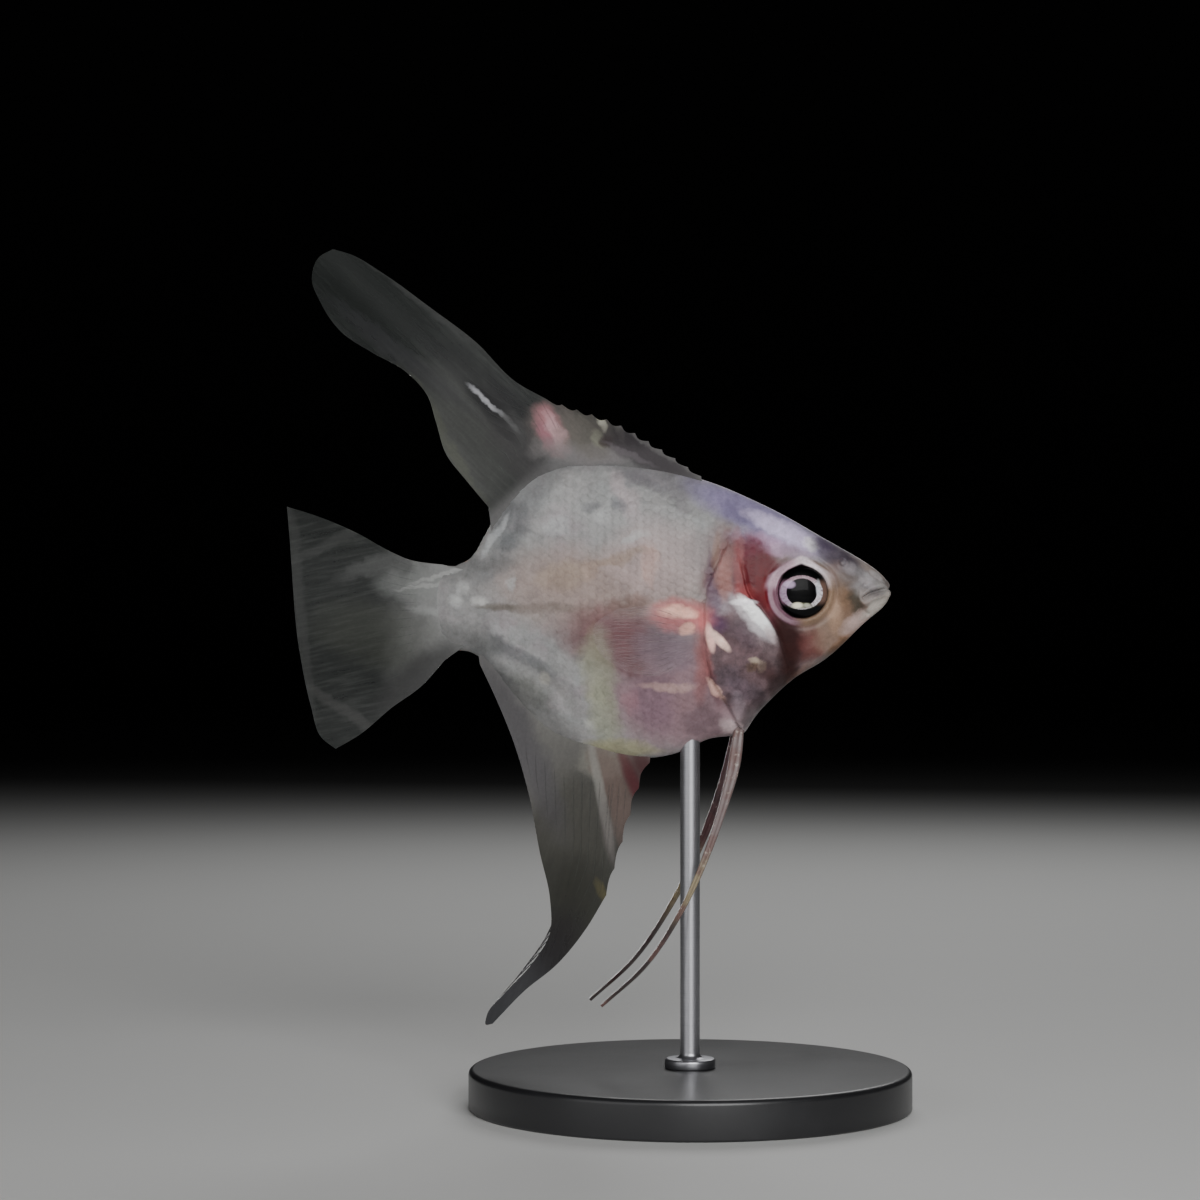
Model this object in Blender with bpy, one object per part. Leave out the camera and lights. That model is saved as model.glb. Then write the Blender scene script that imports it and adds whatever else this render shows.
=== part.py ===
"""Freshwater angelfish: a life-size, still display model on a plain stand.

Run it with: blender --background --python part.py
Units are metres and +Z is up. The fish faces +X, so its right flank faces -Y.
The origin is the centre of the stand's underside, straight below the rod.

The fish is laid out in fractions of its standard length (snout tip to tail root):
s runs back from the snout tip, h up from the snout's level, and y out from the middle.
"""

import math

import bmesh
import bpy
import numpy as np
from mathutils import Matrix, Vector
from mathutils.geometry import delaunay_2d_cdt

# Driving dimensions, in metres
STANDARD_LENGTH = 0.055
JOINT_GAP = 0.0003
FIN_EDGE_THICKNESS = 0.0005
FIN_ROOT_THICKNESS = 0.0010
BASE_RADIUS = 0.028
BASE_THICKNESS = 0.005
BASE_EDGE_RADIUS = 0.0006
BASE_EDGE_SHOULDER = 0.3  # the rounding's middle point lies this share of the radius inside
BASE_SIDES = 56
FIN_TO_BASE_CLEARANCE = 0.0055
ROD_RADIUS = 0.00125
ROD_FLANGE_RADIUS = 0.0032
ROD_FLANGE_THICKNESS = 0.0009
ROD_FLANGE_BEVEL = 0.0003
ROD_NECK_WIDENING = 0.5  # the fillet above the flange, as a share of the rod's radius
ROD_SIDES = 20
ROD_DEPTH_IN_BASE = 0.0027
ROD_DEPTH_IN_BELLY = 0.0040

# Where things lie, in fractions of the standard length
ROD_S = 0.461
LOWEST_FIN_H = -0.993
TAIL_ROOT_S = 1.0
EYE_S, EYE_H = 0.205, -0.001
EYE_RADIUS = 0.0565
EYE_BULGE = 0.018  # from the eye's widest ring out to the front of the cornea
EYE_INNER_DEPTH = 0.046
EYE_RING_Y = 0.0585
EYE_TURN_DEG = 9.0  # each eye faces this much forwards, square to the tapering head
GILL_PLATE_INNER_Y = 0.052

# The body's side view: its upper and lower outline, as (s, h)
BACK_LINE = (
    (0.0, 0.002), (0.015, 0.036), (0.049, 0.064), (0.146, 0.121), (0.291, 0.201),
    (0.43, 0.259), (0.56, 0.29), (0.68, 0.3), (0.77, 0.295), (0.83, 0.268),
    (0.88, 0.215), (0.925, 0.147), (0.96, 0.086), (1.0, 0.061),
)
BELLY_LINE = (
    (0.0, 0.0), (0.012, -0.03), (0.061, -0.0735), (0.15, -0.156), (0.235, -0.211),
    (0.293, -0.267), (0.345, -0.321), (0.42, -0.34), (0.5, -0.374), (0.56, -0.383),
    (0.68, -0.362), (0.8, -0.312), (0.87, -0.24), (0.93, -0.164), (0.965, -0.14), (1.0, -0.135),
)
# The body's top view, as (s, half width), and the level (s, h) where each section is widest
HALF_WIDTH = (
    (0.0, 0.002), (0.012, 0.02), (0.05, 0.034), (0.1, 0.046), (0.2, 0.064), (0.3, 0.078),
    (0.38, 0.084), (0.5, 0.081), (0.65, 0.066), (0.8, 0.046), (0.9, 0.032), (1.0, 0.022),
)
WIDEST_LEVEL = ((0.0, 0.0), (0.2, -0.008), (0.4, -0.03), (0.7, -0.04), (1.0, -0.038))
BACK_SHARPNESS = 1.25  # above 1 a section comes to a narrower edge than an ellipse
BELLY_SHARPNESS = 1.1

# How finely the body and the fins are faceted
BODY_STATIONS = 42
BODY_SIDES = 32
STATION_TURN = 0.78 * math.pi  # the stations are closest at the snout
FIN_MESH = 0.045
FIN_EDGE_STEP = 0.02
FIN_ROOT_POINTS = 21
CAUDAL_ROOT_POINTS = 8
FIN_INNER_CLEARANCE = 0.6  # inner corners keep this share of the spacing from the outline
SLOPE_STEP = 0.002
SNOUT_TIP_SHARE = 0.25  # the snout's end ring lies this far along to the next station
MARGIN_POINTS = 30
EYE_SEGMENTS, EYE_RINGS = 20, 10
PELVIC_STATIONS, PELVIC_SIDES = 18, 8

FIN_TAPER_DEPTH = 0.15  # fins thin out over this distance from their roots
RIPPLE_START = 0.2  # and reach their full ripple at this one

# Cuts between the body's pieces, as side-view outlines (s, h)
CUT_REACH = 0.3  # the cutters reach this far out to each side, well clear of the body
CUT_TOP, CUT_BOTTOM, CUT_FRONT, CUT_REAR = 0.5, -0.6, -0.3, 1.4
OPERCULAR_MARGIN = (
    (0.372, CUT_TOP), (0.374, 0.2), (0.387, 0.092), (0.424, 0.005), (0.429, -0.11),
    (0.41, -0.202), (0.37, -0.27), (0.345, -0.33), (0.34, CUT_BOTTOM),
)
GILL_COVER = (
    (0.387, 0.1), (0.334, 0.074), (0.311, 0.005), (0.277, -0.069), (0.247, -0.156),
    (0.262, -0.21), (0.3, -0.24), (0.37, -0.27), (0.5, -0.27), (0.5, 0.1),
)
LOWER_JAW = (
    (-0.1, 0.03), (0.0, 0.009), (0.033, 0.003), (0.061, -0.009), (0.068, -0.05),
    (0.08, -0.2), (-0.1, -0.2),
)
PEDUNCLE_S = 0.943

# Fins: where each one's root runs on the body, and the edges that follow, front to back
DORSAL_ROOT = (0.431, 0.917)
DORSAL_SPINES = 12
DORSAL_SPINY_EDGE = (
    (0.436, 0.276), (0.535, 0.333), (0.64, 0.392), (0.725, 0.421), (0.79, 0.443),
)
DORSAL_SOFT_EDGE = (
    (0.79, 0.443), (0.862, 0.484), (0.955, 0.577), (1.059, 0.656), (1.174, 0.739),
    (1.24, 0.778), (1.284, 0.791), (1.318, 0.77), (1.333, 0.722), (1.314, 0.67),
    (1.266, 0.601), (1.195, 0.553), (1.115, 0.507), (1.066, 0.453), (1.046, 0.392),
    (1.022, 0.317), (0.975, 0.256), (0.924, 0.195),
)
ANAL_ROOT = (0.551, 0.949)
ANAL_SPINES = 6
ANAL_SPINY_EDGE = (
    (0.554, -0.392), (0.576, -0.443), (0.602, -0.524), (0.626, -0.605), (0.654, -0.696),
)
ANAL_SOFT_EDGE = (
    (0.654, -0.696), (0.702, -0.775), (0.768, -0.855), (0.84, -0.914), (0.914, -0.989),
    (0.93, -0.991), (0.928, -0.972), (0.884, -0.917), (0.824, -0.853), (0.783, -0.782),
    (0.783, -0.706), (0.806, -0.6), (0.83, -0.47), (0.86, -0.363), (0.9, -0.261),
    (0.944, -0.165),
)
CAUDAL_UPPER_EDGE = (
    (1.03, 0.063), (1.06, 0.066), (1.105, 0.074), (1.15, 0.093), (1.23, 0.137),
    (1.32, 0.175), (1.39, 0.197),
)
CAUDAL_REAR_EDGE = (
    (1.39, 0.197), (1.376, 0.005), (1.36, -0.14), (1.335, -0.265), (1.31, -0.335),
    (1.276, -0.361),
)
CAUDAL_LOWER_EDGE = (
    (1.276, -0.361), (1.222, -0.329), (1.148, -0.267), (1.078, -0.216), (1.024, -0.156),
)
PECTORAL_ROOT = ((0.432, -0.088), (0.441, -0.135))
PECTORAL_EDGE = (
    (0.46, -0.066), (0.545, -0.032), (0.63, -0.038), (0.682, -0.078), (0.672, -0.132),
    (0.61, -0.18), (0.535, -0.19), (0.465, -0.152),
)
SPINE_NOTCH = 0.008  # how far the membrane draws in between two spines
PECTORAL_SPREAD_DEG = 24.0
# Each upright fin's sideways lie: how far it leans to the left by the given distance from
# its root, and how deep its ripples are and how far apart
DORSAL_SWAY = (0.035, 0.73, 0.009, 0.3)
ANAL_SWAY = (-0.036, 0.85, 0.009, 0.25)
CAUDAL_SWAY = (0.025, 0.35, 0.012, 0.33)

# Pelvic fins: path (s, h, y) of the right one, with its width along it in the side view
PELVIC_PATH = (
    (0.35, -0.32, -0.021), (0.361, -0.395, -0.032), (0.383, -0.478, -0.043),
    (0.422, -0.593, -0.055), (0.482, -0.726, -0.064), (0.564, -0.851, -0.066),
    (0.665, -0.945, -0.06),
)
PELVIC_WIDTH = ((0.0, 0.02), (0.08, 0.027), (0.3, 0.02), (0.6, 0.0125), (1.0, 0.0095))
PELVIC_THICKNESS = ((0.0, 0.014), (0.3, 0.0115), (1.0, 0.0095))
LEFT_PELVIC_TRAIL = 0.026  # the left fin hangs this much further back at its tip

SNOUT_HEIGHT = BASE_THICKNESS + FIN_TO_BASE_CLEARANCE - LOWEST_FIN_H * STANDARD_LENGTH
GAP = JOINT_GAP / STANDARD_LENGTH
RIGHT, LEFT = -1, 1


def place(s, y, h):
    """The point in metres of a place on the fish given in fractions of its standard length."""
    return Vector(((ROD_S - s) * STANDARD_LENGTH, y * STANDARD_LENGTH,
                   SNOUT_HEIGHT + h * STANDARD_LENGTH))


def curve_through(points, at):
    """Reads the smooth curve through (position, value) points at the positions asked for."""
    x, value = np.array(points, float).T
    slope = np.gradient(value, x)
    i = np.clip(np.searchsorted(x, at, side="right") - 1, 0, len(x) - 2)
    step = x[i + 1] - x[i]
    t = np.clip((at - x[i]) / step, 0.0, 1.0)
    ease = t * t * (3 - 2 * t)
    lead = t * (1 - t) ** 2 * slope[i] + t * t * (t - 1) * slope[i + 1]
    return value[i] * (1 - ease) + value[i + 1] * ease + lead * step


def body_curve(points, s):
    """A body curve at s, read against the root of s so that the snout comes out round."""
    rooted = [(math.sqrt(position), value) for position, value in points]
    return curve_through(rooted, np.sqrt(np.maximum(s, 0.0)))


def along_path(points, count):
    """Count places, evenly spaced, on the smooth line through points of any dimension."""
    points = np.array(points, float)
    steps = np.linalg.norm(np.diff(points, axis=0), axis=1)
    length = np.concatenate(([0.0], np.cumsum(steps)))
    at = np.linspace(0.0, length[-1], count)
    return np.column_stack([curve_through(np.column_stack((length, c)), at) for c in points.T])


def flank_width(s, h):
    """Half the body's thickness at a place in the side view."""
    level = body_curve(WIDEST_LEVEL, s)
    edge, sharpness = (
        (body_curve(BACK_LINE, s), BACK_SHARPNESS) if h > level
        else (body_curve(BELLY_LINE, s), BELLY_SHARPNESS)
    )
    share = min(1.0, abs((h - level) / (edge - level)))
    return float(body_curve(HALF_WIDTH, s) * (1 - share * share) ** (sharpness / 2))


def finish(name, colour, roughness, metallic=0.0):
    """A plain material of one colour."""
    material = bpy.data.materials.new(name)
    material.use_nodes = True
    shader = material.node_tree.nodes["Principled BSDF"]
    shader.inputs["Base Color"].default_value = (*colour, 1.0)
    shader.inputs["Roughness"].default_value = roughness
    shader.inputs["Metallic"].default_value = metallic
    material.diffuse_color = (*colour, 1.0)
    return material


def add_object(name, mesh_source, material=None):
    """Links a new object that holds the given bmesh, shaded smooth up to sharp edges."""
    bmesh.ops.recalc_face_normals(mesh_source, faces=mesh_source.faces)
    mesh = bpy.data.meshes.new(name)
    mesh_source.to_mesh(mesh)
    mesh_source.free()
    mesh.shade_smooth()
    mesh.set_sharp_from_angle(angle=math.radians(40))
    obj = bpy.data.objects.new(name, mesh)
    bpy.context.scene.collection.objects.link(obj)
    if material:
        mesh.materials.append(material)
    return obj


def as_cutter(obj):
    """Marks a helper that only shapes other pieces."""
    obj.hide_render = True
    obj.display_type = "WIRE"
    return obj


def loft(rings):
    """A closed bmesh through rings of points, all with the same number of points."""
    source = bmesh.new()
    rows = [[source.verts.new(point) for point in ring] for ring in rings]
    for row, following in zip(rows, rows[1:]):
        for k in range(len(row)):
            after = (k + 1) % len(row)
            source.faces.new((row[k], row[after], following[after], following[k]))
    source.faces.new(rows[0])
    source.faces.new(rows[-1])
    return source


def body_loft():
    """The whole body without fins, from the snout's tip to the tail root."""
    turn = np.linspace(0.0, STATION_TURN, BODY_STATIONS)
    stations = TAIL_ROOT_S * (1 - np.cos(turn)) / (1 - math.cos(turn[-1]))
    stations[0] = stations[1] * SNOUT_TIP_SHARE
    angle = np.linspace(0.0, 2 * math.pi, BODY_SIDES, endpoint=False)
    sharpness = np.where(np.cos(angle) > 0, BACK_SHARPNESS, BELLY_SHARPNESS)
    across = np.sign(np.sin(angle)) * np.abs(np.sin(angle)) ** sharpness
    rings = []
    for s in stations:
        top, level, bottom = (body_curve(c, s) for c in (BACK_LINE, WIDEST_LEVEL, BELLY_LINE))
        reach = np.where(np.cos(angle) > 0, top - level, level - bottom)
        width = body_curve(HALF_WIDTH, s)
        rings.append([place(s, width * a, level + r * math.cos(t))
                      for a, r, t in zip(across, reach, angle)])
    return loft(rings)


def grown(outline, by):
    """The closed outline with every corner moved outwards by about the distance given."""
    corners = np.array(outline, float)
    edges = np.roll(corners, -1, axis=0) - corners
    normals = np.column_stack((edges[:, 1], -edges[:, 0])) / np.linalg.norm(edges, axis=1)[:, None]
    area = np.cross(corners, np.roll(corners, -1, axis=0)).sum()
    outwards = normals + np.roll(normals, 1, axis=0)
    outwards /= np.linalg.norm(outwards, axis=1)[:, None]
    return corners + outwards * by * np.sign(area)


def block(name, outline, y_low=-CUT_REACH, y_high=CUT_REACH):
    """A cutter: a side-view outline drawn through the fish from y_low to y_high."""
    return as_cutter(add_object(name, loft([
        [place(s, y, h) for s, h in outline] for y in (y_low, y_high)
    ])))


def boolean(obj, cutter, operation):
    modifier = obj.modifiers.new(operation.title(), "BOOLEAN")
    modifier.operation = operation
    modifier.object = cutter


def outline_edge(line, s):
    """Where a fin starts: the body's outline at s, moved out by the joint's gap."""
    rise = (body_curve(line, s + SLOPE_STEP / 2) - body_curve(line, s - SLOPE_STEP / 2)) / SLOPE_STEP
    side = 1 if line is BACK_LINE else -1
    out = np.array((-rise * side, side)) / math.hypot(1.0, rise)
    return np.array((s, body_curve(line, s))) + out * GAP


def root_edge(line, span):
    """A fin's root, from its rear end to its front end."""
    return [outline_edge(line, s) for s in np.linspace(span[1], span[0], FIN_ROOT_POINTS)]


def sampled(edge, spacing):
    """Places along an edge, about evenly spaced."""
    length = np.linalg.norm(np.diff(np.array(edge, float), axis=0), axis=1).sum()
    return along_path(edge, max(2, round(length / spacing) + 1))


def spiny_edge(edge, spines, heart):
    """The tips of the spines, with the membrane drawn in towards heart in between."""
    points = along_path(edge, 2 * spines - 1)
    inwards = heart - points[1::2]
    points[1::2] += SPINE_NOTCH * inwards / np.linalg.norm(inwards, axis=1)[:, None]
    return points


def filled(outline, spacing):
    """Fills a side-view outline with triangles: its points (s, h), corners and rim."""
    low, high = outline.min(axis=0), outline.max(axis=0)
    row_step = spacing * math.sin(math.radians(60))
    inner = [np.array((s + (row % 2) * spacing / 2, h))
             for row, h in enumerate(np.arange(low[1], high[1], row_step))
             for s in np.arange(low[0], high[0], spacing)]
    kept = [p for p in inner
            if np.linalg.norm(outline - p, axis=1).min() > FIN_INNER_CLEARANCE * spacing]
    corners = [Vector(p) for p in (*outline, *kept)]
    around = list(range(len(outline)))
    points, _, triangles, _, _, _ = delaunay_2d_cdt(corners, [], [around], 1, 1e-6)
    return [tuple(p) for p in points], triangles


def fin_solid(name, outline, depth, sway, material, root_thickness=FIN_ROOT_THICKNESS,
              spacing=FIN_MESH):
    """A thin closed plate inside an outline.

    depth(s, h) is the distance from the fin's root, over which the plate thins out, and
    sway(s, h) is how far it lies to the fish's left.
    """
    points, triangles = filled(outline, spacing)
    source = bmesh.new()
    sheets = {RIGHT: [], LEFT: []}
    for s, h in points:
        taper = max(0.0, 1 - depth(s, h) / FIN_TAPER_DEPTH) ** 2
        thickness = FIN_EDGE_THICKNESS + (root_thickness - FIN_EDGE_THICKNESS) * taper
        for side, sheet in sheets.items():
            y = sway(s, h) + side * thickness / 2 / STANDARD_LENGTH
            sheet.append(source.verts.new(place(s, y, h)))
    right, left = sheets[RIGHT], sheets[LEFT]
    for corners in triangles:
        source.faces.new([right[k] for k in corners])
        source.faces.new([left[k] for k in reversed(corners)])
    edges = {(t[k - 1], t[k]) for t in triangles for k in range(3)}
    for start, end in edges:
        if (end, start) not in edges:
            source.faces.new((right[end], right[start], left[start], left[end]))
    bmesh.ops.delete(source, geom=[v for v in source.verts if not v.link_faces], context="VERTS")
    return add_object(name, source, material)


def swayed(lean, lean_depth, ripple, wavelength, depth, across):
    """A fin's sideways lie, from its distance from the root and a measure across its rays."""
    def sway(s, h):
        away = depth(s, h)
        wave = math.sin(2 * math.pi * across(s, h) / wavelength)
        return lean * (away / lean_depth) ** 2 + ripple * min(1.0, away / RIPPLE_START) * wave
    return sway


def make_flesh(skin):
    """Head, jaw, gill covers, trunk and peduncle: one body parted with thin cuts."""
    margin = along_path(OPERCULAR_MARGIN, MARGIN_POINTS)
    head_outline = [*margin, (CUT_FRONT, CUT_BOTTOM), (CUT_FRONT, CUT_TOP)]
    tail_outline = [(PEDUNCLE_S, CUT_TOP), (CUT_REAR, CUT_TOP), (CUT_REAR, CUT_BOTTOM),
                    (PEDUNCLE_S, CUT_BOTTOM)]
    head_block = block("cut_head", head_outline)
    behind_head = block("cut_behind_head", grown(head_outline, GAP))
    tail_block = block("cut_tail", tail_outline)
    before_tail = block("cut_before_tail", grown(tail_outline, GAP))
    jaw_block = block("cut_jaw", LOWER_JAW)
    above_jaw = block("cut_above_jaw", grown(LOWER_JAW, GAP))

    pieces = {n: add_object(n, body_loft(), skin) for n in
              ("head", "lower_jaw", "trunk", "tail_peduncle", "gill_cover_right", "gill_cover_left")}
    boolean(pieces["head"], head_block, "INTERSECT")
    boolean(pieces["head"], above_jaw, "DIFFERENCE")
    boolean(pieces["lower_jaw"], jaw_block, "INTERSECT")
    boolean(pieces["tail_peduncle"], tail_block, "INTERSECT")
    boolean(pieces["trunk"], behind_head, "DIFFERENCE")
    boolean(pieces["trunk"], before_tail, "DIFFERENCE")
    boolean(pieces["trunk"], rod_solid("cut_rod_hole", JOINT_GAP), "DIFFERENCE")

    for side, word in ((RIGHT, "right"), (LEFT, "left")):
        deep = sorted((side * GILL_PLATE_INNER_Y, side * CUT_REACH))
        shallow = sorted((side * (GILL_PLATE_INNER_Y + GAP), side * CUT_REACH))
        pocket = block(f"cut_gill_pocket_{word}", GILL_COVER, *deep)
        plate = block(f"cut_gill_plate_{word}", grown(GILL_COVER, -GAP), *shallow)
        boolean(pieces["head"], pocket, "DIFFERENCE")
        boolean(pieces[f"gill_cover_{word}"], head_block, "INTERSECT")
        boolean(pieces[f"gill_cover_{word}"], plate, "INTERSECT")
        boolean(pieces["head"], as_cutter(eye_solid(f"cut_eye_socket_{word}", side, JOINT_GAP)),
                "DIFFERENCE")


def eye_solid(name, side, clearance=0.0):
    """An eyeball, shallow outside and deep inside, or its socket with the clearance around it."""
    radius, bulge, inner = (
        r * STANDARD_LENGTH + clearance for r in (EYE_RADIUS, EYE_BULGE, EYE_INNER_DEPTH)
    )
    source = bmesh.new()
    poles_sideways = Matrix.Rotation(math.radians(90), 4, "X")
    bmesh.ops.create_uvsphere(source, u_segments=EYE_SEGMENTS, v_segments=EYE_RINGS,
                              radius=radius, matrix=poles_sideways)
    for vertex in source.verts:
        vertex.co.y *= (bulge if vertex.co.y * side > 0 else inner) / radius
    obj = add_object(name, source)
    obj.location = place(EYE_S, side * EYE_RING_Y, EYE_H)
    obj.rotation_euler.z = math.radians(-side * EYE_TURN_DEG)
    return obj


def make_eyes(material):
    for side, word in ((RIGHT, "right"), (LEFT, "left")):
        eye_solid(f"eye_{word}", side).data.materials.append(material)


def above_back(s, h):
    return max(0.0, h - body_curve(BACK_LINE, min(s, TAIL_ROOT_S)))


def below_belly(s, h):
    return max(0.0, body_curve(BELLY_LINE, min(s, TAIL_ROOT_S)) - h)


def behind_tail_root(s, h):
    return max(0.0, s - TAIL_ROOT_S)


def make_dorsal_fin(material):
    root = root_edge(BACK_LINE, DORSAL_ROOT)
    outline = np.array([
        *root, *spiny_edge(DORSAL_SPINY_EDGE, DORSAL_SPINES, np.mean(root, axis=0)),
        *sampled(DORSAL_SOFT_EDGE, FIN_EDGE_STEP)[1:],
    ])
    sway = swayed(*DORSAL_SWAY, above_back, lambda s, h: s - h)
    fin_solid("dorsal_fin", outline, above_back, sway, material)


def make_anal_fin(material):
    root = root_edge(BELLY_LINE, ANAL_ROOT)
    outline = np.array([
        *root, *spiny_edge(ANAL_SPINY_EDGE, ANAL_SPINES, np.mean(root, axis=0)),
        *sampled(ANAL_SOFT_EDGE, FIN_EDGE_STEP)[1:],
    ])
    sway = swayed(*ANAL_SWAY, below_belly, lambda s, h: s + h / 3)
    fin_solid("anal_fin", outline, below_belly, sway, material)


def make_caudal_fin(material):
    ends = body_curve(BELLY_LINE, TAIL_ROOT_S), body_curve(BACK_LINE, TAIL_ROOT_S)
    outline = np.array([
        *((TAIL_ROOT_S + GAP, h) for h in np.linspace(*ends, CAUDAL_ROOT_POINTS)),
        *sampled(CAUDAL_UPPER_EDGE, FIN_EDGE_STEP), *sampled(CAUDAL_REAR_EDGE, FIN_EDGE_STEP)[1:],
        *sampled(CAUDAL_LOWER_EDGE, FIN_EDGE_STEP)[1:],
    ])
    sway = swayed(*CAUDAL_SWAY, behind_tail_root, lambda s, h: h)
    root_thickness = 2 * body_curve(HALF_WIDTH, TAIL_ROOT_S) * STANDARD_LENGTH
    fin_solid("caudal_fin", outline, behind_tail_root, sway, material, root_thickness)


def make_pectoral_fins(material):
    top, bottom = (np.array(corner) for corner in PECTORAL_ROOT)
    outline = np.array([bottom, top, *sampled(PECTORAL_EDGE, FIN_EDGE_STEP)])
    root_y = max(flank_width(*top), flank_width(*bottom))
    root_y += GAP + FIN_ROOT_THICKNESS / 2 / STANDARD_LENGTH
    slope = math.tan(math.radians(PECTORAL_SPREAD_DEG))
    for side, word in ((RIGHT, "right"), (LEFT, "left")):
        fin_solid(f"pectoral_fin_{word}", outline, lambda s, h: s - top[0],
                  lambda s, h, side=side: side * (root_y + slope * (s - top[0])), material)


def make_pelvic_fins(material):
    """The two long feelers, flattened rods that taper towards their tips."""
    angle = np.linspace(0.0, 2 * math.pi, PELVIC_SIDES, endpoint=False)
    share = np.linspace(0.0, 1.0, PELVIC_STATIONS)
    width = curve_through(PELVIC_WIDTH, share) / 2
    thickness = curve_through(PELVIC_THICKNESS, share) / 2
    for side, word in ((RIGHT, "right"), (LEFT, "left")):
        path = along_path(PELVIC_PATH, PELVIC_STATIONS)
        path[:, 2] *= -side
        if side == LEFT:
            path[:, 0] += LEFT_PELVIC_TRAIL * (1 - (1 - share) ** 2)
        along = np.gradient(path[:, :2], axis=0)
        across = np.column_stack((along[:, 1], -along[:, 0]))
        across /= np.linalg.norm(across, axis=1)[:, None]
        rings = [[place(p[0] + a[0] * w * math.cos(t), p[2] + d * math.sin(t),
                        p[1] + a[1] * w * math.cos(t)) for t in angle]
                 for p, a, w, d in zip(path, across, width, thickness)]
        add_object(f"pelvic_fin_{word}", loft(rings), material)


def turned(name, profile, sides, material=None):
    """A solid turned about the origin's upright axis from (radius, height) points."""
    angle = np.linspace(0.0, 2 * math.pi, sides, endpoint=False)
    return add_object(name, loft([
        [Vector((r * math.cos(t), r * math.sin(t), z)) for t in angle] for r, z in profile
    ]), material)


def rod_top():
    """How high the rod ends, inside the belly."""
    return place(ROD_S, 0.0, body_curve(BELLY_LINE, ROD_S)).z + ROD_DEPTH_IN_BELLY


def rod_solid(name, clearance):
    """The straight part of the rod, widened by a clearance, as a cutter for what it enters."""
    radius = ROD_RADIUS + clearance
    foot = BASE_THICKNESS - ROD_DEPTH_IN_BASE - clearance
    return as_cutter(turned(name, ((radius, foot), (radius, rod_top() + clearance)), ROD_SIDES))


def make_stand(base_material, rod_material):
    """A round base with a blind hole, and a rod whose flange hides the hole's edge."""
    edge = BASE_EDGE_RADIUS
    inset = edge * BASE_EDGE_SHOULDER
    base = turned("stand_base", (
        (BASE_RADIUS - edge, 0.0), (BASE_RADIUS, edge), (BASE_RADIUS, BASE_THICKNESS - edge),
        (BASE_RADIUS - inset, BASE_THICKNESS - inset), (BASE_RADIUS - edge, BASE_THICKNESS),
    ), BASE_SIDES, base_material)
    boolean(base, rod_solid("cut_base_hole", JOINT_GAP), "DIFFERENCE")
    seat = BASE_THICKNESS + JOINT_GAP
    shoulder = seat + ROD_FLANGE_THICKNESS
    neck = ROD_RADIUS * ROD_NECK_WIDENING
    turned("stand_rod", (
        (ROD_RADIUS, BASE_THICKNESS - ROD_DEPTH_IN_BASE), (ROD_RADIUS, seat),
        (ROD_FLANGE_RADIUS, seat), (ROD_FLANGE_RADIUS, shoulder - ROD_FLANGE_BEVEL),
        (ROD_FLANGE_RADIUS - ROD_FLANGE_BEVEL, shoulder),
        (ROD_RADIUS + neck, shoulder), (ROD_RADIUS, shoulder + neck), (ROD_RADIUS, rod_top()),
    ), ROD_SIDES, rod_material)


def main():
    for obj in list(bpy.data.objects):
        bpy.data.objects.remove(obj)
    skin = finish("skin", (0.55, 0.54, 0.53), 0.35)
    fin = finish("fin", (0.3, 0.31, 0.3), 0.4)
    feeler = finish("feeler", (0.6, 0.52, 0.46), 0.4)
    make_flesh(skin)
    make_eyes(finish("eye", (0.02, 0.02, 0.02), 0.05))
    make_dorsal_fin(fin)
    make_anal_fin(fin)
    make_caudal_fin(fin)
    make_pectoral_fins(fin)
    make_pelvic_fins(feeler)
    make_stand(finish("stand", (0.02, 0.02, 0.022), 0.3), finish("rod", (0.6, 0.6, 0.62), 0.25, 1.0))


main()
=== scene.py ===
"""Looks of a life-size freshwater angelfish model on a display stand, as a Blender add-on.

Each operator listed in the 3D view's sidebar makes one piece or one group of like pieces.
The fish is laid out in fractions of its standard length (snout tip to tail root): s runs
back from the snout tip, h up from the snout's level, and y out to the fish's left. It
faces +X, so its right flank faces -Y. Everything else is in metres, with +Z up.
"""

import math
from collections import namedtuple
from functools import lru_cache

import bmesh
import bpy
import numpy as np
from bpy.props import FloatProperty, FloatVectorProperty, IntProperty, PointerProperty
from mathutils import Matrix, Vector
from mathutils.geometry import delaunay_2d_cdt


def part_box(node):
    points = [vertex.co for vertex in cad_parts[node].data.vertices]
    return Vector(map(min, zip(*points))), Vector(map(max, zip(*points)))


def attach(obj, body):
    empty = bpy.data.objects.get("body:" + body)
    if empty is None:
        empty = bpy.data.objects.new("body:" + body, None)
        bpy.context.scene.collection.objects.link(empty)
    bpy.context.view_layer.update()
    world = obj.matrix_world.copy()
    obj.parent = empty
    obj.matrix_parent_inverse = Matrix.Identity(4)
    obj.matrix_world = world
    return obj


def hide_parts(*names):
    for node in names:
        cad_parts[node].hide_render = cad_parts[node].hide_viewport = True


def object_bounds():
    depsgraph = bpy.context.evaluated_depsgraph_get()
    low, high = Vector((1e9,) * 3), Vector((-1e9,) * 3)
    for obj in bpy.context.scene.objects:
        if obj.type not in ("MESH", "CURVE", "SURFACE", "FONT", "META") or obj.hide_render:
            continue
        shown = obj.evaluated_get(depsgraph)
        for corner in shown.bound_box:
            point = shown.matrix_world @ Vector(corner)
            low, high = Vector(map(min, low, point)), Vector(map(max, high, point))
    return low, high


bl_info = {
    "name": "Angelfish Display Model",
    "version": (1, 0, 0),
    "blender": (4, 5, 0),
    "location": "View3D > Sidebar > Angelfish",
    "description": "Skin, scales, eyes, fins, stand and stage of a life-size angelfish model",
    "category": "Add Mesh",
}

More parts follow.
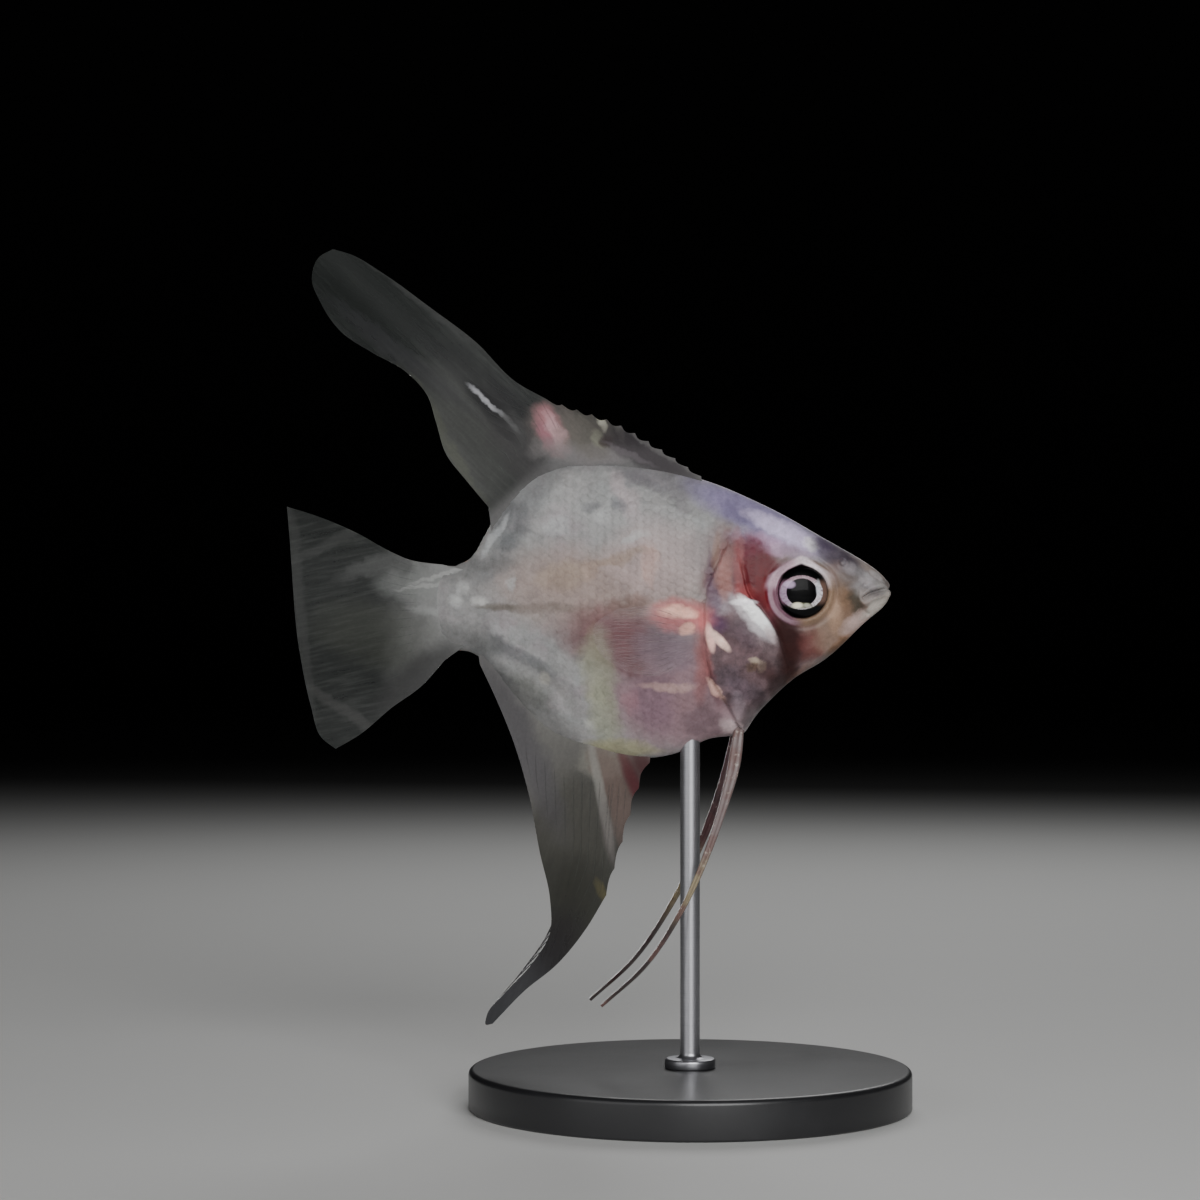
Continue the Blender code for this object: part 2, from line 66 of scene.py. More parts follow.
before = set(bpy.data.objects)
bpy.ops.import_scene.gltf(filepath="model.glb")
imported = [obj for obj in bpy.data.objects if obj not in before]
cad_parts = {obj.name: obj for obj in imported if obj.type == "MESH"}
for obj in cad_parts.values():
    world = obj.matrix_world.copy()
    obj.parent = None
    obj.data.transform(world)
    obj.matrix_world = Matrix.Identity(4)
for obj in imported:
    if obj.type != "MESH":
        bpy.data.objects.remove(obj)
CAD_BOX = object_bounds()

RIGHT, LEFT = -1, 1
SIDES = ((RIGHT, "right"), (LEFT, "left"))

# ---------------------------------------------------------------- the fish's measures
STANDARD_LENGTH = 0.055
EYE_S, EYE_H = 0.205, -0.001
EYE_RING_Y = 0.0585
EYE_RADIUS = 0.0565
EYE_BULGE = 0.018
EYE_INNER_DEPTH = 0.046
EYE_TURN = math.radians(9.0)

SNOUT_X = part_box("tail_peduncle")[0].x + STANDARD_LENGTH
SNOUT_Z = sum(corner.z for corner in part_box("eye_right")) / 2 - EYE_H * STANDARD_LENGTH

# The body's side view: its upper and lower outline, as (s, h)
BACK_LINE = (
    (0.0, 0.002), (0.015, 0.036), (0.049, 0.064), (0.146, 0.121), (0.291, 0.201),
    (0.43, 0.259), (0.56, 0.29), (0.68, 0.3), (0.77, 0.295), (0.83, 0.268),
    (0.88, 0.215), (0.925, 0.147), (0.96, 0.086), (1.0, 0.061),
)
BELLY_LINE = (
    (0.0, 0.0), (0.012, -0.03), (0.061, -0.0735), (0.15, -0.156), (0.235, -0.211),
    (0.293, -0.267), (0.345, -0.321), (0.42, -0.34), (0.5, -0.374), (0.56, -0.383),
    (0.68, -0.362), (0.8, -0.312), (0.87, -0.24), (0.93, -0.164), (0.965, -0.14), (1.0, -0.135),
)
# The body's top view, as (s, half width), and the level (s, h) where each section is widest
HALF_WIDTH = (
    (0.0, 0.002), (0.012, 0.02), (0.05, 0.034), (0.1, 0.046), (0.2, 0.064), (0.3, 0.078),
    (0.38, 0.084), (0.5, 0.081), (0.65, 0.066), (0.8, 0.046), (0.9, 0.032), (1.0, 0.022),
)
WIDEST_LEVEL = ((0.0, 0.0), (0.2, -0.008), (0.4, -0.03), (0.7, -0.04), (1.0, -0.038))
BACK_SHARPNESS = 1.25
BELLY_SHARPNESS = 1.1
FLESH_END = 1.055  # the flesh closes over the tail fin's root here

# The skin's own mesh
HEAD_STATIONS, TRUNK_STATIONS, END_STATIONS = 230, 168, 16
HEAD_END = 0.45
SKIN_SIDES = 232
FLANK_CROWDING = 0.2  # draws the mesh's lines together along the middle of the flanks

# Lines of relief on the head, as side-view paths (s, h)
OPERCULAR_MARGIN = (
    (0.387, 0.092), (0.424, 0.005), (0.429, -0.11), (0.41, -0.202), (0.37, -0.27),
    (0.345, -0.315),
)
CHEEK_EDGE = ((0.345, 0.05), (0.33, -0.005), (0.296, -0.045), (0.262, -0.1), (0.24, -0.165))
MOUTH = ((-0.02, 0.008), (0.02, 0.005), (0.045, -0.003), (0.064, -0.014))
JAW_CORNER = ((0.06, 0.016), (0.074, -0.008), (0.072, -0.034), (0.055, -0.052))
BROW = ((0.1, 0.028), (0.14, 0.06), (0.19, 0.084), (0.25, 0.078), (0.285, 0.04))
LATERAL_LINE = (
    (0.4, 0.125), (0.45, 0.17), (0.54, 0.2), (0.64, 0.19), (0.74, 0.15), (0.83, 0.1),
)
REAR_LATERAL_LINE = ((0.74, -0.02), (0.86, -0.03), (1.0, -0.037))
NOSTRIL = (0.112, 0.068)

# Fins: where each one's root runs on the body, and the edges that follow, front to back
DORSAL_ROOT = (0.431, 0.917)
DORSAL_SPINES = 12
DORSAL_SPINY_ROOT = (0.435, 0.715)
DORSAL_SPINY_EDGE = (
    (0.436, 0.266), (0.535, 0.333), (0.64, 0.392), (0.725, 0.421), (0.79, 0.443),
)
DORSAL_LEADING_EDGE = (
    (0.79, 0.443), (0.862, 0.484), (0.955, 0.577), (1.059, 0.656), (1.174, 0.739),
    (1.24, 0.778), (1.284, 0.791),
)
DORSAL_TRAILING_EDGE = (
    (1.284, 0.791), (1.318, 0.77), (1.333, 0.722), (1.314, 0.67),
    (1.266, 0.601), (1.195, 0.553), (1.115, 0.507), (1.066, 0.453), (1.046, 0.392),
    (1.022, 0.317), (0.975, 0.256), (0.924, 0.195),
)
ANAL_ROOT = (0.551, 0.949)
ANAL_SPINES = 6
ANAL_SPINY_ROOT = (0.553, 0.628)
ANAL_SPINY_EDGE = (
    (0.554, -0.392), (0.576, -0.443), (0.602, -0.524), (0.626, -0.605), (0.654, -0.696),
)
ANAL_LEADING_EDGE = (
    (0.654, -0.696), (0.702, -0.775), (0.768, -0.855), (0.84, -0.914), (0.914, -0.989),
)
ANAL_TRAILING_EDGE = (
    (0.914, -0.989), (0.93, -0.991), (0.928, -0.972), (0.884, -0.917), (0.824, -0.853),
    (0.783, -0.782), (0.783, -0.706), (0.806, -0.6), (0.83, -0.47), (0.86, -0.363),
    (0.9, -0.261), (0.944, -0.165),
)
CAUDAL_UPPER_EDGE = (
    (1.03, 0.063), (1.06, 0.066), (1.105, 0.074), (1.15, 0.093), (1.23, 0.137),
    (1.32, 0.175), (1.39, 0.197),
)
CAUDAL_REAR_EDGE = (
    (1.39, 0.197), (1.376, 0.005), (1.36, -0.14), (1.335, -0.265), (1.31, -0.335),
    (1.276, -0.361),
)
CAUDAL_LOWER_EDGE = (
    (1.276, -0.361), (1.222, -0.329), (1.148, -0.267), (1.078, -0.216), (1.024, -0.156),
)
PECTORAL_ROOT = ((0.432, -0.088), (0.441, -0.135))
PECTORAL_UPPER_EDGE = ((0.46, -0.066), (0.545, -0.032), (0.63, -0.038))
PECTORAL_REAR_EDGE = ((0.63, -0.038), (0.682, -0.078), (0.672, -0.132), (0.61, -0.18))
PECTORAL_LOWER_EDGE = ((0.61, -0.18), (0.535, -0.19), (0.465, -0.152))
PECTORAL_SPREAD = math.radians(24.0)
SPINE_NOTCH = 0.008  # how deep the membrane dips between two spines
RIPPLE_START = 0.2  # how far out the ripple reaches its full height
# Each upright fin's lean, the depth it is taken at, the ripple's height and its wavelength
DORSAL_SWAY = (0.035, 0.73, 0.009, 0.3)
ANAL_SWAY = (-0.036, 0.85, 0.009, 0.25)
CAUDAL_SWAY = (0.025, 0.35, 0.012, 0.33)
FIN_BURIAL = 0.02  # how far a fin's root reaches into the flesh
FIN_MESH = 0.011
FIN_EDGE_STEP = 0.006

# A pelvic feeler's middle line as (s, h, y), and its (share of length, width or thickness)
PELVIC_PATH = (
    (0.346, -0.296, -0.010), (0.35, -0.32, -0.021), (0.361, -0.395, -0.032),
    (0.383, -0.478, -0.043), (0.422, -0.593, -0.055), (0.482, -0.726, -0.064),
    (0.564, -0.851, -0.066), (0.665, -0.945, -0.06),
)
PELVIC_WIDTH = ((0.0, 0.02), (0.08, 0.027), (0.3, 0.02), (0.6, 0.0125), (1.0, 0.007))
PELVIC_THICKNESS = ((0.0, 0.014), (0.3, 0.0115), (1.0, 0.007))
LEFT_PELVIC_TRAIL = 0.026  # how far behind the right feeler's tip the left one's lies


def linear(red, green, blue):
    """A colour given in 0 to 255 display values, as the linear values that shaders use."""
    return tuple(
        c / 12.92 if c <= 0.04045 else ((c + 0.055) / 1.055) ** 2.4
        for c in (red / 255, green / 255, blue / 255)
    )


# ---------------------------------------------------------------- settings
def colour_setting(name, description, *display):
    return FloatVectorProperty(name=name, description=description, subtype="COLOR",
                               size=3, min=0.0, max=1.0, default=linear(*display))


class AngelfishSkinSettings(bpy.types.PropertyGroup):
    """Sizes and colours of the skin and scales."""

    coat_depth: FloatProperty(
        name="Coat depth", description="How far the skin lies inside the solid flesh",
        default=0.00008, min=0.0, unit="LENGTH", precision=5)
    relief: FloatProperty(
        name="Relief", description="Strength of the folds, lips and gill edges",
        default=1.0, min=0.0, max=2.0, subtype="FACTOR")
    scale_pitch: FloatProperty(
        name="Scale pitch", description="Distance between two scales of one row",
        default=0.001, min=0.0004, unit="LENGTH", precision=5)
    scale_lift: FloatProperty(
        name="Scale lift", description="How far a scale's free edge stands off the skin",
        default=0.00007, min=0.0, unit="LENGTH", precision=5)
    flank: colour_setting("Flank", "Milky grey of the trunk", 146, 144, 143)
    nape: colour_setting("Nape", "Lavender sheen from the forehead to the back", 132, 122, 156)
    silver: colour_setting("Silver", "Grey of the gill cover around its bright bar", 136, 120, 124)
    mauve: colour_setting("Mauve", "Pinkish belly", 140, 108, 116)


class AngelfishEyeSettings(bpy.types.PropertyGroup):
    """Sizes and colours of the eyes."""

    pupil: FloatProperty(
        name="Pupil radius", description="Radius of the black pupil",
        default=0.00194, min=0.0, unit="LENGTH", precision=5)
    iris_radius: FloatProperty(
        name="Iris radius", description="Outer radius of the silver iris",
        default=0.00274, min=0.0, unit="LENGTH", precision=5)
    iris: colour_setting("Iris", "Silver of the iris", 226, 220, 224)


class AngelfishFinSettings(bpy.types.PropertyGroup):
    """Sizes and colours of the fins."""

    membrane: FloatProperty(
        name="Membrane", description="Thickness of the membrane at its edge",
        default=0.00012, min=0.00002, unit="LENGTH", precision=5)
    ray: FloatProperty(
        name="Ray radius", description="Radius of a soft ray at its root",
        default=0.00012, min=0.00002, unit="LENGTH", precision=5)
    opacity: FloatProperty(
        name="Opacity", description="How opaque the thin parts of the membranes are",
        default=0.93, min=0.0, max=1.0, subtype="FACTOR")
    smoke: colour_setting("Smoke", "Smoky grey of the membranes", 40, 42, 41)
    ray_tint: colour_setting("Rays", "Grey of the rays", 72, 74, 72)
    feeler: colour_setting("Feelers", "Pinkish white of the pelvic fins", 112, 98, 97)


class AngelfishStandSettings(bpy.types.PropertyGroup):
    """Finish of the display stand."""

    base: colour_setting("Base", "Black of the turned base", 30, 30, 32)
    base_roughness: FloatProperty(
        name="Base roughness", description="How satin the base is",
        default=0.3, min=0.0, max=1.0, subtype="FACTOR")
    rod: colour_setting("Rod", "Grey of the brushed steel rod", 190, 190, 194)
    rod_roughness: FloatProperty(
        name="Rod roughness", description="How coarsely the rod is brushed",
        default=0.28, min=0.0, max=1.0, subtype="FACTOR")


class AngelfishStageSettings(bpy.types.PropertyGroup):
    """Floor, lights and camera."""

    floor_size: FloatProperty(
        name="Floor size", description="Width of the round floor between its swept-up walls",
        default=5.0, min=0.5, unit="LENGTH")
    floor: colour_setting("Floor", "Pale grey of the floor", 214, 214, 212)
    far_floor: colour_setting("Far floor", "Charcoal that the floor darkens to", 34, 34, 35)
    key_power: FloatProperty(
        name="Key power", description="Power of the main soft light", default=2.6, min=0.0,
        unit="POWER")
    fill_power: FloatProperty(
        name="Fill power", description="Power of the light that opens the shadows",
        default=1.0, min=0.0, unit="POWER")
    back_power: FloatProperty(
        name="Back power", description="Power of the soft light on the fish's far side",
        default=0.95, min=0.0, unit="POWER")
    far_power: FloatProperty(
        name="Far power", description="Power of the light kept to the fish's left side",
        default=0.4, min=0.0, unit="POWER")
    world_grey: FloatProperty(
        name="Surroundings", description="Brightness of the dark studio around",
        default=0.003, min=0.0, max=1.0, subtype="FACTOR")
    focal_length: FloatProperty(
        name="Focal length", description="Focal length of the camera's lens, in millimetres",
        default=100.0, min=10.0)


# ---------------------------------------------------------------- curves and surfaces
def places(s, y, h):
    """Points in metres, one row each, of places given in fractions of the standard length."""
    s, y, h = np.broadcast_arrays(s, y, h)
    return np.stack((SNOUT_X - s * STANDARD_LENGTH, y * STANDARD_LENGTH,
                     SNOUT_Z + h * STANDARD_LENGTH), axis=-1)


def curve_through(points, at):
    """Reads the smooth curve through (position, value) points at the positions asked for."""
    x, value = np.array(points, float).T
    slope = np.gradient(value, x)
    i = np.clip(np.searchsorted(x, at, side="right") - 1, 0, len(x) - 2)
    step = x[i + 1] - x[i]
    t = np.clip((at - x[i]) / step, 0.0, 1.0)
    ease = t * t * (3 - 2 * t)
    lead = t * (1 - t) ** 2 * slope[i] + t * t * (t - 1) * slope[i + 1]
    return value[i] * (1 - ease) + value[i + 1] * ease + lead * step


def body_curve(points, s):
    """A body curve at s, read against the root of s so that the snout comes out round."""
    rooted = [(math.sqrt(position), value) for position, value in points]
    return curve_through(rooted, np.sqrt(np.maximum(s, 0.0)))


def along_path(points, count):
    """Count places, evenly spaced, on the smooth line through points of any dimension."""
    points = np.array(points, float)
    steps = np.linalg.norm(np.diff(points, axis=0), axis=1)
    length = np.concatenate(([0.0], np.cumsum(steps)))
    at = np.linspace(0.0, length[-1], count)
    return np.column_stack([curve_through(np.column_stack((length, c)), at) for c in points.T])


def smooth_step(x, low, high):
    t = np.clip((x - low) / (high - low), 0.0, 1.0)
    return t * t * (3 - 2 * t)


def bell(x, width):
    return np.exp(-(x / width) ** 2)


def path_distance(path, s, h, count=70):
    """Distance to a side-view path and which side of it: positive to the left of its run."""
    line = along_path(path, count)
    run = np.gradient(line, axis=0)
    nearest = np.full(s.shape, np.inf)
    side = np.ones(s.shape)
    for (ps, ph), (rs, rh) in zip(line, run):
        ds, dh = s - ps, h - ph
        gap = np.hypot(ds, dh)
        closer = gap < nearest
        nearest = np.where(closer, gap, nearest)
        side = np.where(closer, np.sign(rs * dh - rh * ds), side)
    return nearest, side


# ---------------------------------------------------------------- skin
def body_section(s):
    return tuple(body_curve(c, s) for c in (BACK_LINE, WIDEST_LEVEL, BELLY_LINE, HALF_WIDTH))


def plain_body(stations, angles):
    """The body's smooth surface without relief, as a grid of (s, y, h)."""
    s, angle = np.meshgrid(stations, angles, indexing="ij")
    top, level, bottom, width = body_section(np.minimum(s, 1.0))
    upper = np.cos(angle) > 0
    sharpness = np.where(upper, BACK_SHARPNESS, BELLY_SHARPNESS)
    reach = np.where(upper, top - level, level - bottom)
    beyond = np.clip((s - 1) / (FLESH_END - 1), 0.0, 1.0)
    width = width * np.maximum(1 - beyond, 0.0) ** 0.8 + 0.0008 * beyond
    round_end = 0.4 + 0.6 * np.sqrt(np.maximum(0.0, 1 - np.cos(angle) ** 2))
    depth = np.where(s > 1, 1 + (s - 1) * round_end, s)
    y = width * np.sign(np.sin(angle)) * np.abs(np.sin(angle)) ** sharpness
    return np.stack((depth, y, level + reach * np.cos(angle)), axis=-1)


def grid_normals(grid):
    """Outward unit normals of a closed-round grid of points."""
    along = np.gradient(grid, axis=0)
    around = np.roll(grid, -1, axis=1) - np.roll(grid, 1, axis=1)
    normal = np.cross(around, along)
    normal /= np.maximum(np.linalg.norm(normal, axis=-1, keepdims=True), 1e-12)
    outward = grid - grid.mean(axis=1, keepdims=True)
    flip = np.sign((normal * outward).sum(axis=(0, 1, 2)))
    return normal * flip


def head_relief(s, h):
    """How far the skin stands proud of the plain body at places in the side view."""
    relief = np.zeros(s.shape)
    mouth, _ = path_distance(MOUTH, s, h)
    lips = 0.006 * bell(mouth - 0.012, 0.007) - 0.010 * bell(mouth, 0.0036)
    relief += lips * (0.35 + 0.65 * smooth_step(s, 0.004, 0.026))
    corner, _ = path_distance(JAW_CORNER, s, h)
    relief -= 0.005 * bell(corner, 0.005)
    margin, behind = path_distance(OPERCULAR_MARGIN, s, h)
    cover = np.where(behind > 0, 0.0, 0.0045 * bell(margin, 0.035))
    slit = np.where(behind > 0, 0.0075 * bell(margin, 0.012), 0.0)
    relief += cover - slit
    cheek, rear = path_distance(CHEEK_EDGE, s, h)
    relief += np.where(rear > 0, 0.003 * bell(cheek, 0.03), -0.0045 * bell(cheek, 0.008))
    brow, _ = path_distance(BROW, s, h)
    relief += 0.0025 * bell(brow, 0.012)
    for line in (LATERAL_LINE, REAR_LATERAL_LINE):
        away, _ = path_distance(line, s, h)
        relief += 0.0012 * bell(away, 0.004)
    nostril = np.hypot(s - NOSTRIL[0], h - NOSTRIL[1])
    relief += 0.0025 * bell(nostril - 0.011, 0.004) - 0.007 * bell(nostril, 0.006)
    for centre, size, height in (((0.437, -0.111), (0.016, 0.034), 0.006),
                                 ((0.352, -0.308), (0.022, 0.028), 0.006)):
        relief += height * bell(np.hypot((s - centre[0]) / size[0], (h - centre[1]) / size[1]), 1)
    return relief


def fit_around_eye(grid, side):
    """Opens the skin for the eyeball and raises a rounded rim around it."""
    centre = np.array((EYE_S, side * EYE_RING_Y, EYE_H))
    axis = np.array((-math.sin(EYE_TURN), side * math.cos(EYE_TURN), 0.0))
    away = grid - centre
    proud = away @ axis
    radius = np.linalg.norm(away - proud[..., None] * axis, axis=-1) / EYE_RADIUS
    near = (grid[..., 1] * side > 0) & (radius < 1.6)
    rim = 0.0045 * bell(radius - 1.16, 0.11) - 0.003 * bell(radius - 1.42, 0.09)
    open_share = 1 - smooth_step(radius, 0.93, 1.06)
    wanted = (proud + rim) * (1 - open_share) - 0.02 * open_share
    change = np.where(near, wanted - proud, 0.0)
    return grid + change[..., None] * axis


@lru_cache(maxsize=1)
def skin_grid():
    """The finished skin: station positions, angles, points (s, y, h) and normals."""
    settings = bpy.context.scene.angelfish_skin
    share = np.arange(1, HEAD_STATIONS + 1) / HEAD_STATIONS
    stations = np.concatenate((
        HEAD_END * share ** 1.6,
        np.linspace(HEAD_END, 1.0, TRUNK_STATIONS + 1)[1:],
        np.linspace(1.0, FLESH_END, END_STATIONS + 1)[1:],
    ))
    turn = full_turn(SKIN_SIDES)
    angles = turn + FLANK_CROWDING * np.sin(2 * turn)
    plain = plain_body(stations, angles)
    normals = grid_normals(plain)
    relief = settings.relief * head_relief(plain[..., 0], plain[..., 2])
    relief -= settings.coat_depth / STANDARD_LENGTH
    grid = plain + normals * relief[..., None]
    for side, _ in SIDES:
        grid = fit_around_eye(grid, side)
    return stations, angles, grid, grid_normals(grid)


def angle_from_back(s, h):
    """How far round the body a side-view place lies: 0 on the back, pi on the belly."""
    top, level, bottom, _ = body_section(np.minimum(s, 1.0))
    reach = np.where(h > level, top - level, level - bottom)
    return np.arccos(np.clip((h - level) / reach, -1.0, 1.0))


def on_skin(s, h, side):
    """Skin points and normals at side-view places, read from the finished skin."""
    stations, angles, grid, normals = skin_grid()
    angle = angle_from_back(s, h)
    row = np.clip(np.interp(s, stations, np.arange(len(stations))), 0, len(stations) - 1.001)
    column = np.interp(angle, angles, np.arange(len(angles)))
    i = row.astype(int)
    j = column.astype(int)
    u, v = (row - i)[..., None], (column - j)[..., None]

    def read(values):
        one, two = j, j + 1
        found = (values[i, one] * (1 - u) * (1 - v) + values[i + 1, one] * u * (1 - v)
                 + values[i, two] * (1 - u) * v + values[i + 1, two] * u * v)
        found[..., 1] *= side
        return found
    return read(grid), read(normals)


# ---------------------------------------------------------------- meshes
FISH_SLOTS = ("skin", "eye", "fin", "feeler")


def fish_pieces():
    """The fish's own pieces, without its stand: the far light is kept to them."""
    name = "fish_pieces"
    return bpy.data.collections.get(name) or bpy.data.collections.new(name)


SHARP_EDGE = math.radians(50)


def linked(name, data):
    made = bpy.data.objects.new(name, data)
    bpy.context.scene.collection.objects.link(made)
    return made


def shaded_object(name, source, finish_made):
    """Links a bmesh as an object, smooth but for its sharp edges."""
    bmesh.ops.recalc_face_normals(source, faces=source.faces)
    mesh = bpy.data.meshes.new(name)
    source.to_mesh(mesh)
    source.free()
    mesh.shade_smooth()
    mesh.set_sharp_from_angle(angle=SHARP_EDGE)
    mesh.materials.append(finish_made)
    return linked(name, mesh)


def new_piece(name, source, finish_made, slot_name, replaced=()):
    """Makes a bmesh a piece that rides on the fish and stands for the given nodes."""
    piece = shaded_object(name, source, finish_made)
    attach(piece, "root")
    if slot_name in FISH_SLOTS:
        fish_pieces().objects.link(piece)
    if replaced:
        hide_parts(*replaced)
    return piece


def add_loft(source, rings):
    """Adds a closed tube through rings of points, each with the same number of points."""
    rows = [[source.verts.new(point) for point in ring] for ring in rings]
    for row, following in zip(rows, rows[1:]):
        for k in range(len(row)):
            after = (k + 1) % len(row)
            source.faces.new((row[k], row[after], following[after], following[k]))
    source.faces.new(rows[0])
    source.faces.new(rows[-1])


def full_turn(count):
    return np.linspace(0.0, 2 * math.pi, count, endpoint=False)


def lathed(profile, sides):
    """A closed solid turned from (radius, height) points."""
    source = bmesh.new()
    turn = full_turn(sides)
    add_loft(source, [[(r * math.cos(t), r * math.sin(t), z) for t in turn] for r, z in profile])
    return source


def add_strand(source, path, radius, sides=6):
    """Adds a thin round strand along a path of points in metres."""
    path = np.array(path, float)
    run = np.gradient(path, axis=0)
    run /= np.linalg.norm(run, axis=1)[:, None]
    across = np.cross(run, (0.0, 1.0, 0.0))
    across /= np.linalg.norm(across, axis=1)[:, None]
    upright = np.cross(across, run)
    angle = full_turn(sides)
    add_loft(source, [
        [p + r * (a * math.cos(t) + b * math.sin(t)) for t in angle]
        for p, r, a, b in zip(path, radius, across, upright)
    ])


# ---------------------------------------------------------------- materials
class Value:
    """A number worked out by a material: arithmetic on it adds Math nodes."""

    def __init__(self, finish, socket):
        self.finish = finish
        self.socket = socket

    def math(self, operation, *terms):
        return self.finish.node("ShaderNodeMath", {"operation": operation}, dict(enumerate(terms)))

    def __add__(self, other):
        return self.math("ADD", self, other)

    def __sub__(self, other):
        return self.math("SUBTRACT", self, other)

    def __rsub__(self, other):
        return self.math("SUBTRACT", other, self)

    def __mul__(self, other):
        return self.math("MULTIPLY", self, other)

    def __truediv__(self, other):
        return self.math("DIVIDE", self, other)

    def __pow__(self, other):
        return self.math("POWER", self, other)

    __radd__ = __add__
    __rmul__ = __mul__

    def least(self, other):
        return self.math("MAXIMUM", self, other)

    def most(self, other):
        return self.math("MINIMUM", self, other)

    def wave(self):
        return self.math("SINE", self)

    def rise(self, low, high):
        """0 at low and 1 at high, smoothly in between; low may be above high."""
        return self.finish.node("ShaderNodeMapRange", {"interpolation_type": "SMOOTHSTEP"}, {
            "Value": self, "From Min": low, "From Max": high, "To Min": 0.0, "To Max": 1.0})


class Finish:
    """One procedural material, built node by node."""

    def __init__(self, name, **constants):
        self.material = bpy.data.materials.new(name)
        self.material.use_nodes = True
        self.tree = self.material.node_tree
        self.shader = self.tree.nodes["Principled BSDF"]
        for socket, value in constants.items():
            self.shader.inputs[socket.replace("_", " ")].default_value = value

    def node(self, kind, settings=None, inputs=None, output=0):
        """Adds a node: its settings first, then the values or links of its sockets."""
        made = self.tree.nodes.new(kind)
        for key, value in (settings or {}).items():
            setattr(made, key, value)
        for key, value in (inputs or {}).items():
            self.feed(made.inputs[key], value)
        return Value(self, made.outputs[output])

    def feed(self, socket, value):
        if isinstance(value, Value):
            self.tree.links.new(value.socket, socket)
        elif socket.type == "RGBA":
            socket.default_value = (*value[:3], 1.0)
        else:
            socket.default_value = value

    def set(self, **links):
        for socket, value in links.items():
            self.feed(self.shader.inputs[socket.replace("_", " ")], value)

    def mix(self, first, second, share, blend="MIX"):
        return self.node("ShaderNodeMix", {"data_type": "RGBA", "blend_type": blend},
                         {0: share, 6: first, 7: second}, 2)

    def vector(self, operation, *terms, output=0):
        return self.node("ShaderNodeVectorMath", {"operation": operation},
                         dict(enumerate(terms)), output)

    def own_place(self):
        """The place on the piece, in metres from the piece's own origin."""
        return self.node("ShaderNodeTexCoord", output="Object")

    def fish_place(self):
        """The place as (s, y, h) in fractions of the standard length."""
        flip = (-1 / STANDARD_LENGTH, 1 / STANDARD_LENGTH, 1 / STANDARD_LENGTH)
        shift = (SNOUT_X / STANDARD_LENGTH, 0.0, -SNOUT_Z / STANDARD_LENGTH)
        return self.vector("MULTIPLY_ADD", self.own_place(), flip, shift)

    def split(self, vector):
        parts = self.tree.nodes.new("ShaderNodeSeparateXYZ")
        self.feed(parts.inputs[0], vector)
        return [Value(self, socket) for socket in parts.outputs]

    def noise(self, vector, scale, detail=3.0, roughness=0.55, output=0):
        return self.node("ShaderNodeTexNoise", None, {
            "Vector": vector, "Scale": scale, "Detail": detail, "Roughness": roughness}, output)

    def warped(self, vector, scale, amount):
        """The place pushed about by noise, so that what is painted there gets ragged edges."""
        push = self.vector("SUBTRACT", self.noise(vector, scale, output=1), (0.5, 0.5, 0.5))
        return self.vector("MULTIPLY_ADD", push, (amount, amount, amount), vector)

    def spot(self, vector, centre, size, tilt, soft, strength=1.0):
        """The given strength inside a side-view ellipse, falling to 0 over its soft edge."""
        c, s = math.cos(math.radians(tilt)), math.sin(math.radians(tilt))
        shares = []
        for axis, half in (((c, s), size[0]), ((-s, c), size[1])):
            shift = (centre[0] * axis[0] + centre[1] * axis[1]) / half
            run = (axis[0] / half, 0.0, axis[1] / half)
            shares.append(self.vector("DOT_PRODUCT", vector, run, output=1) - shift)
        along, across = shares
        squared = along.math("MULTIPLY_ADD", along, along, across * across)
        return self.node("ShaderNodeMapRange", {"interpolation_type": "SMOOTHSTEP"}, {
            "Value": squared, "From Min": (1 - soft) ** 2, "From Max": (1 + soft) ** 2,
            "To Min": strength, "To Max": 0.0})

    def shaded(self, colour, shade):
        """The colour made lighter or darker by a factor."""
        grey = self.node("ShaderNodeCombineColor", None, {0: shade, 1: shade, 2: shade})
        return self.mix(colour, grey, 1.0, "MULTIPLY")

    def bump(self, height, strength, distance):
        return self.node("ShaderNodeBump", None, {
            "Height": height, "Strength": strength, "Distance": distance})


# A mark in the side view: centre (s, h), half sizes along and across, tilt in degrees of its
# long axis, colour, strength, how soft its edge is, and how ragged
Mark = namedtuple("Mark", "s h along across tilt colour strength soft ragged")


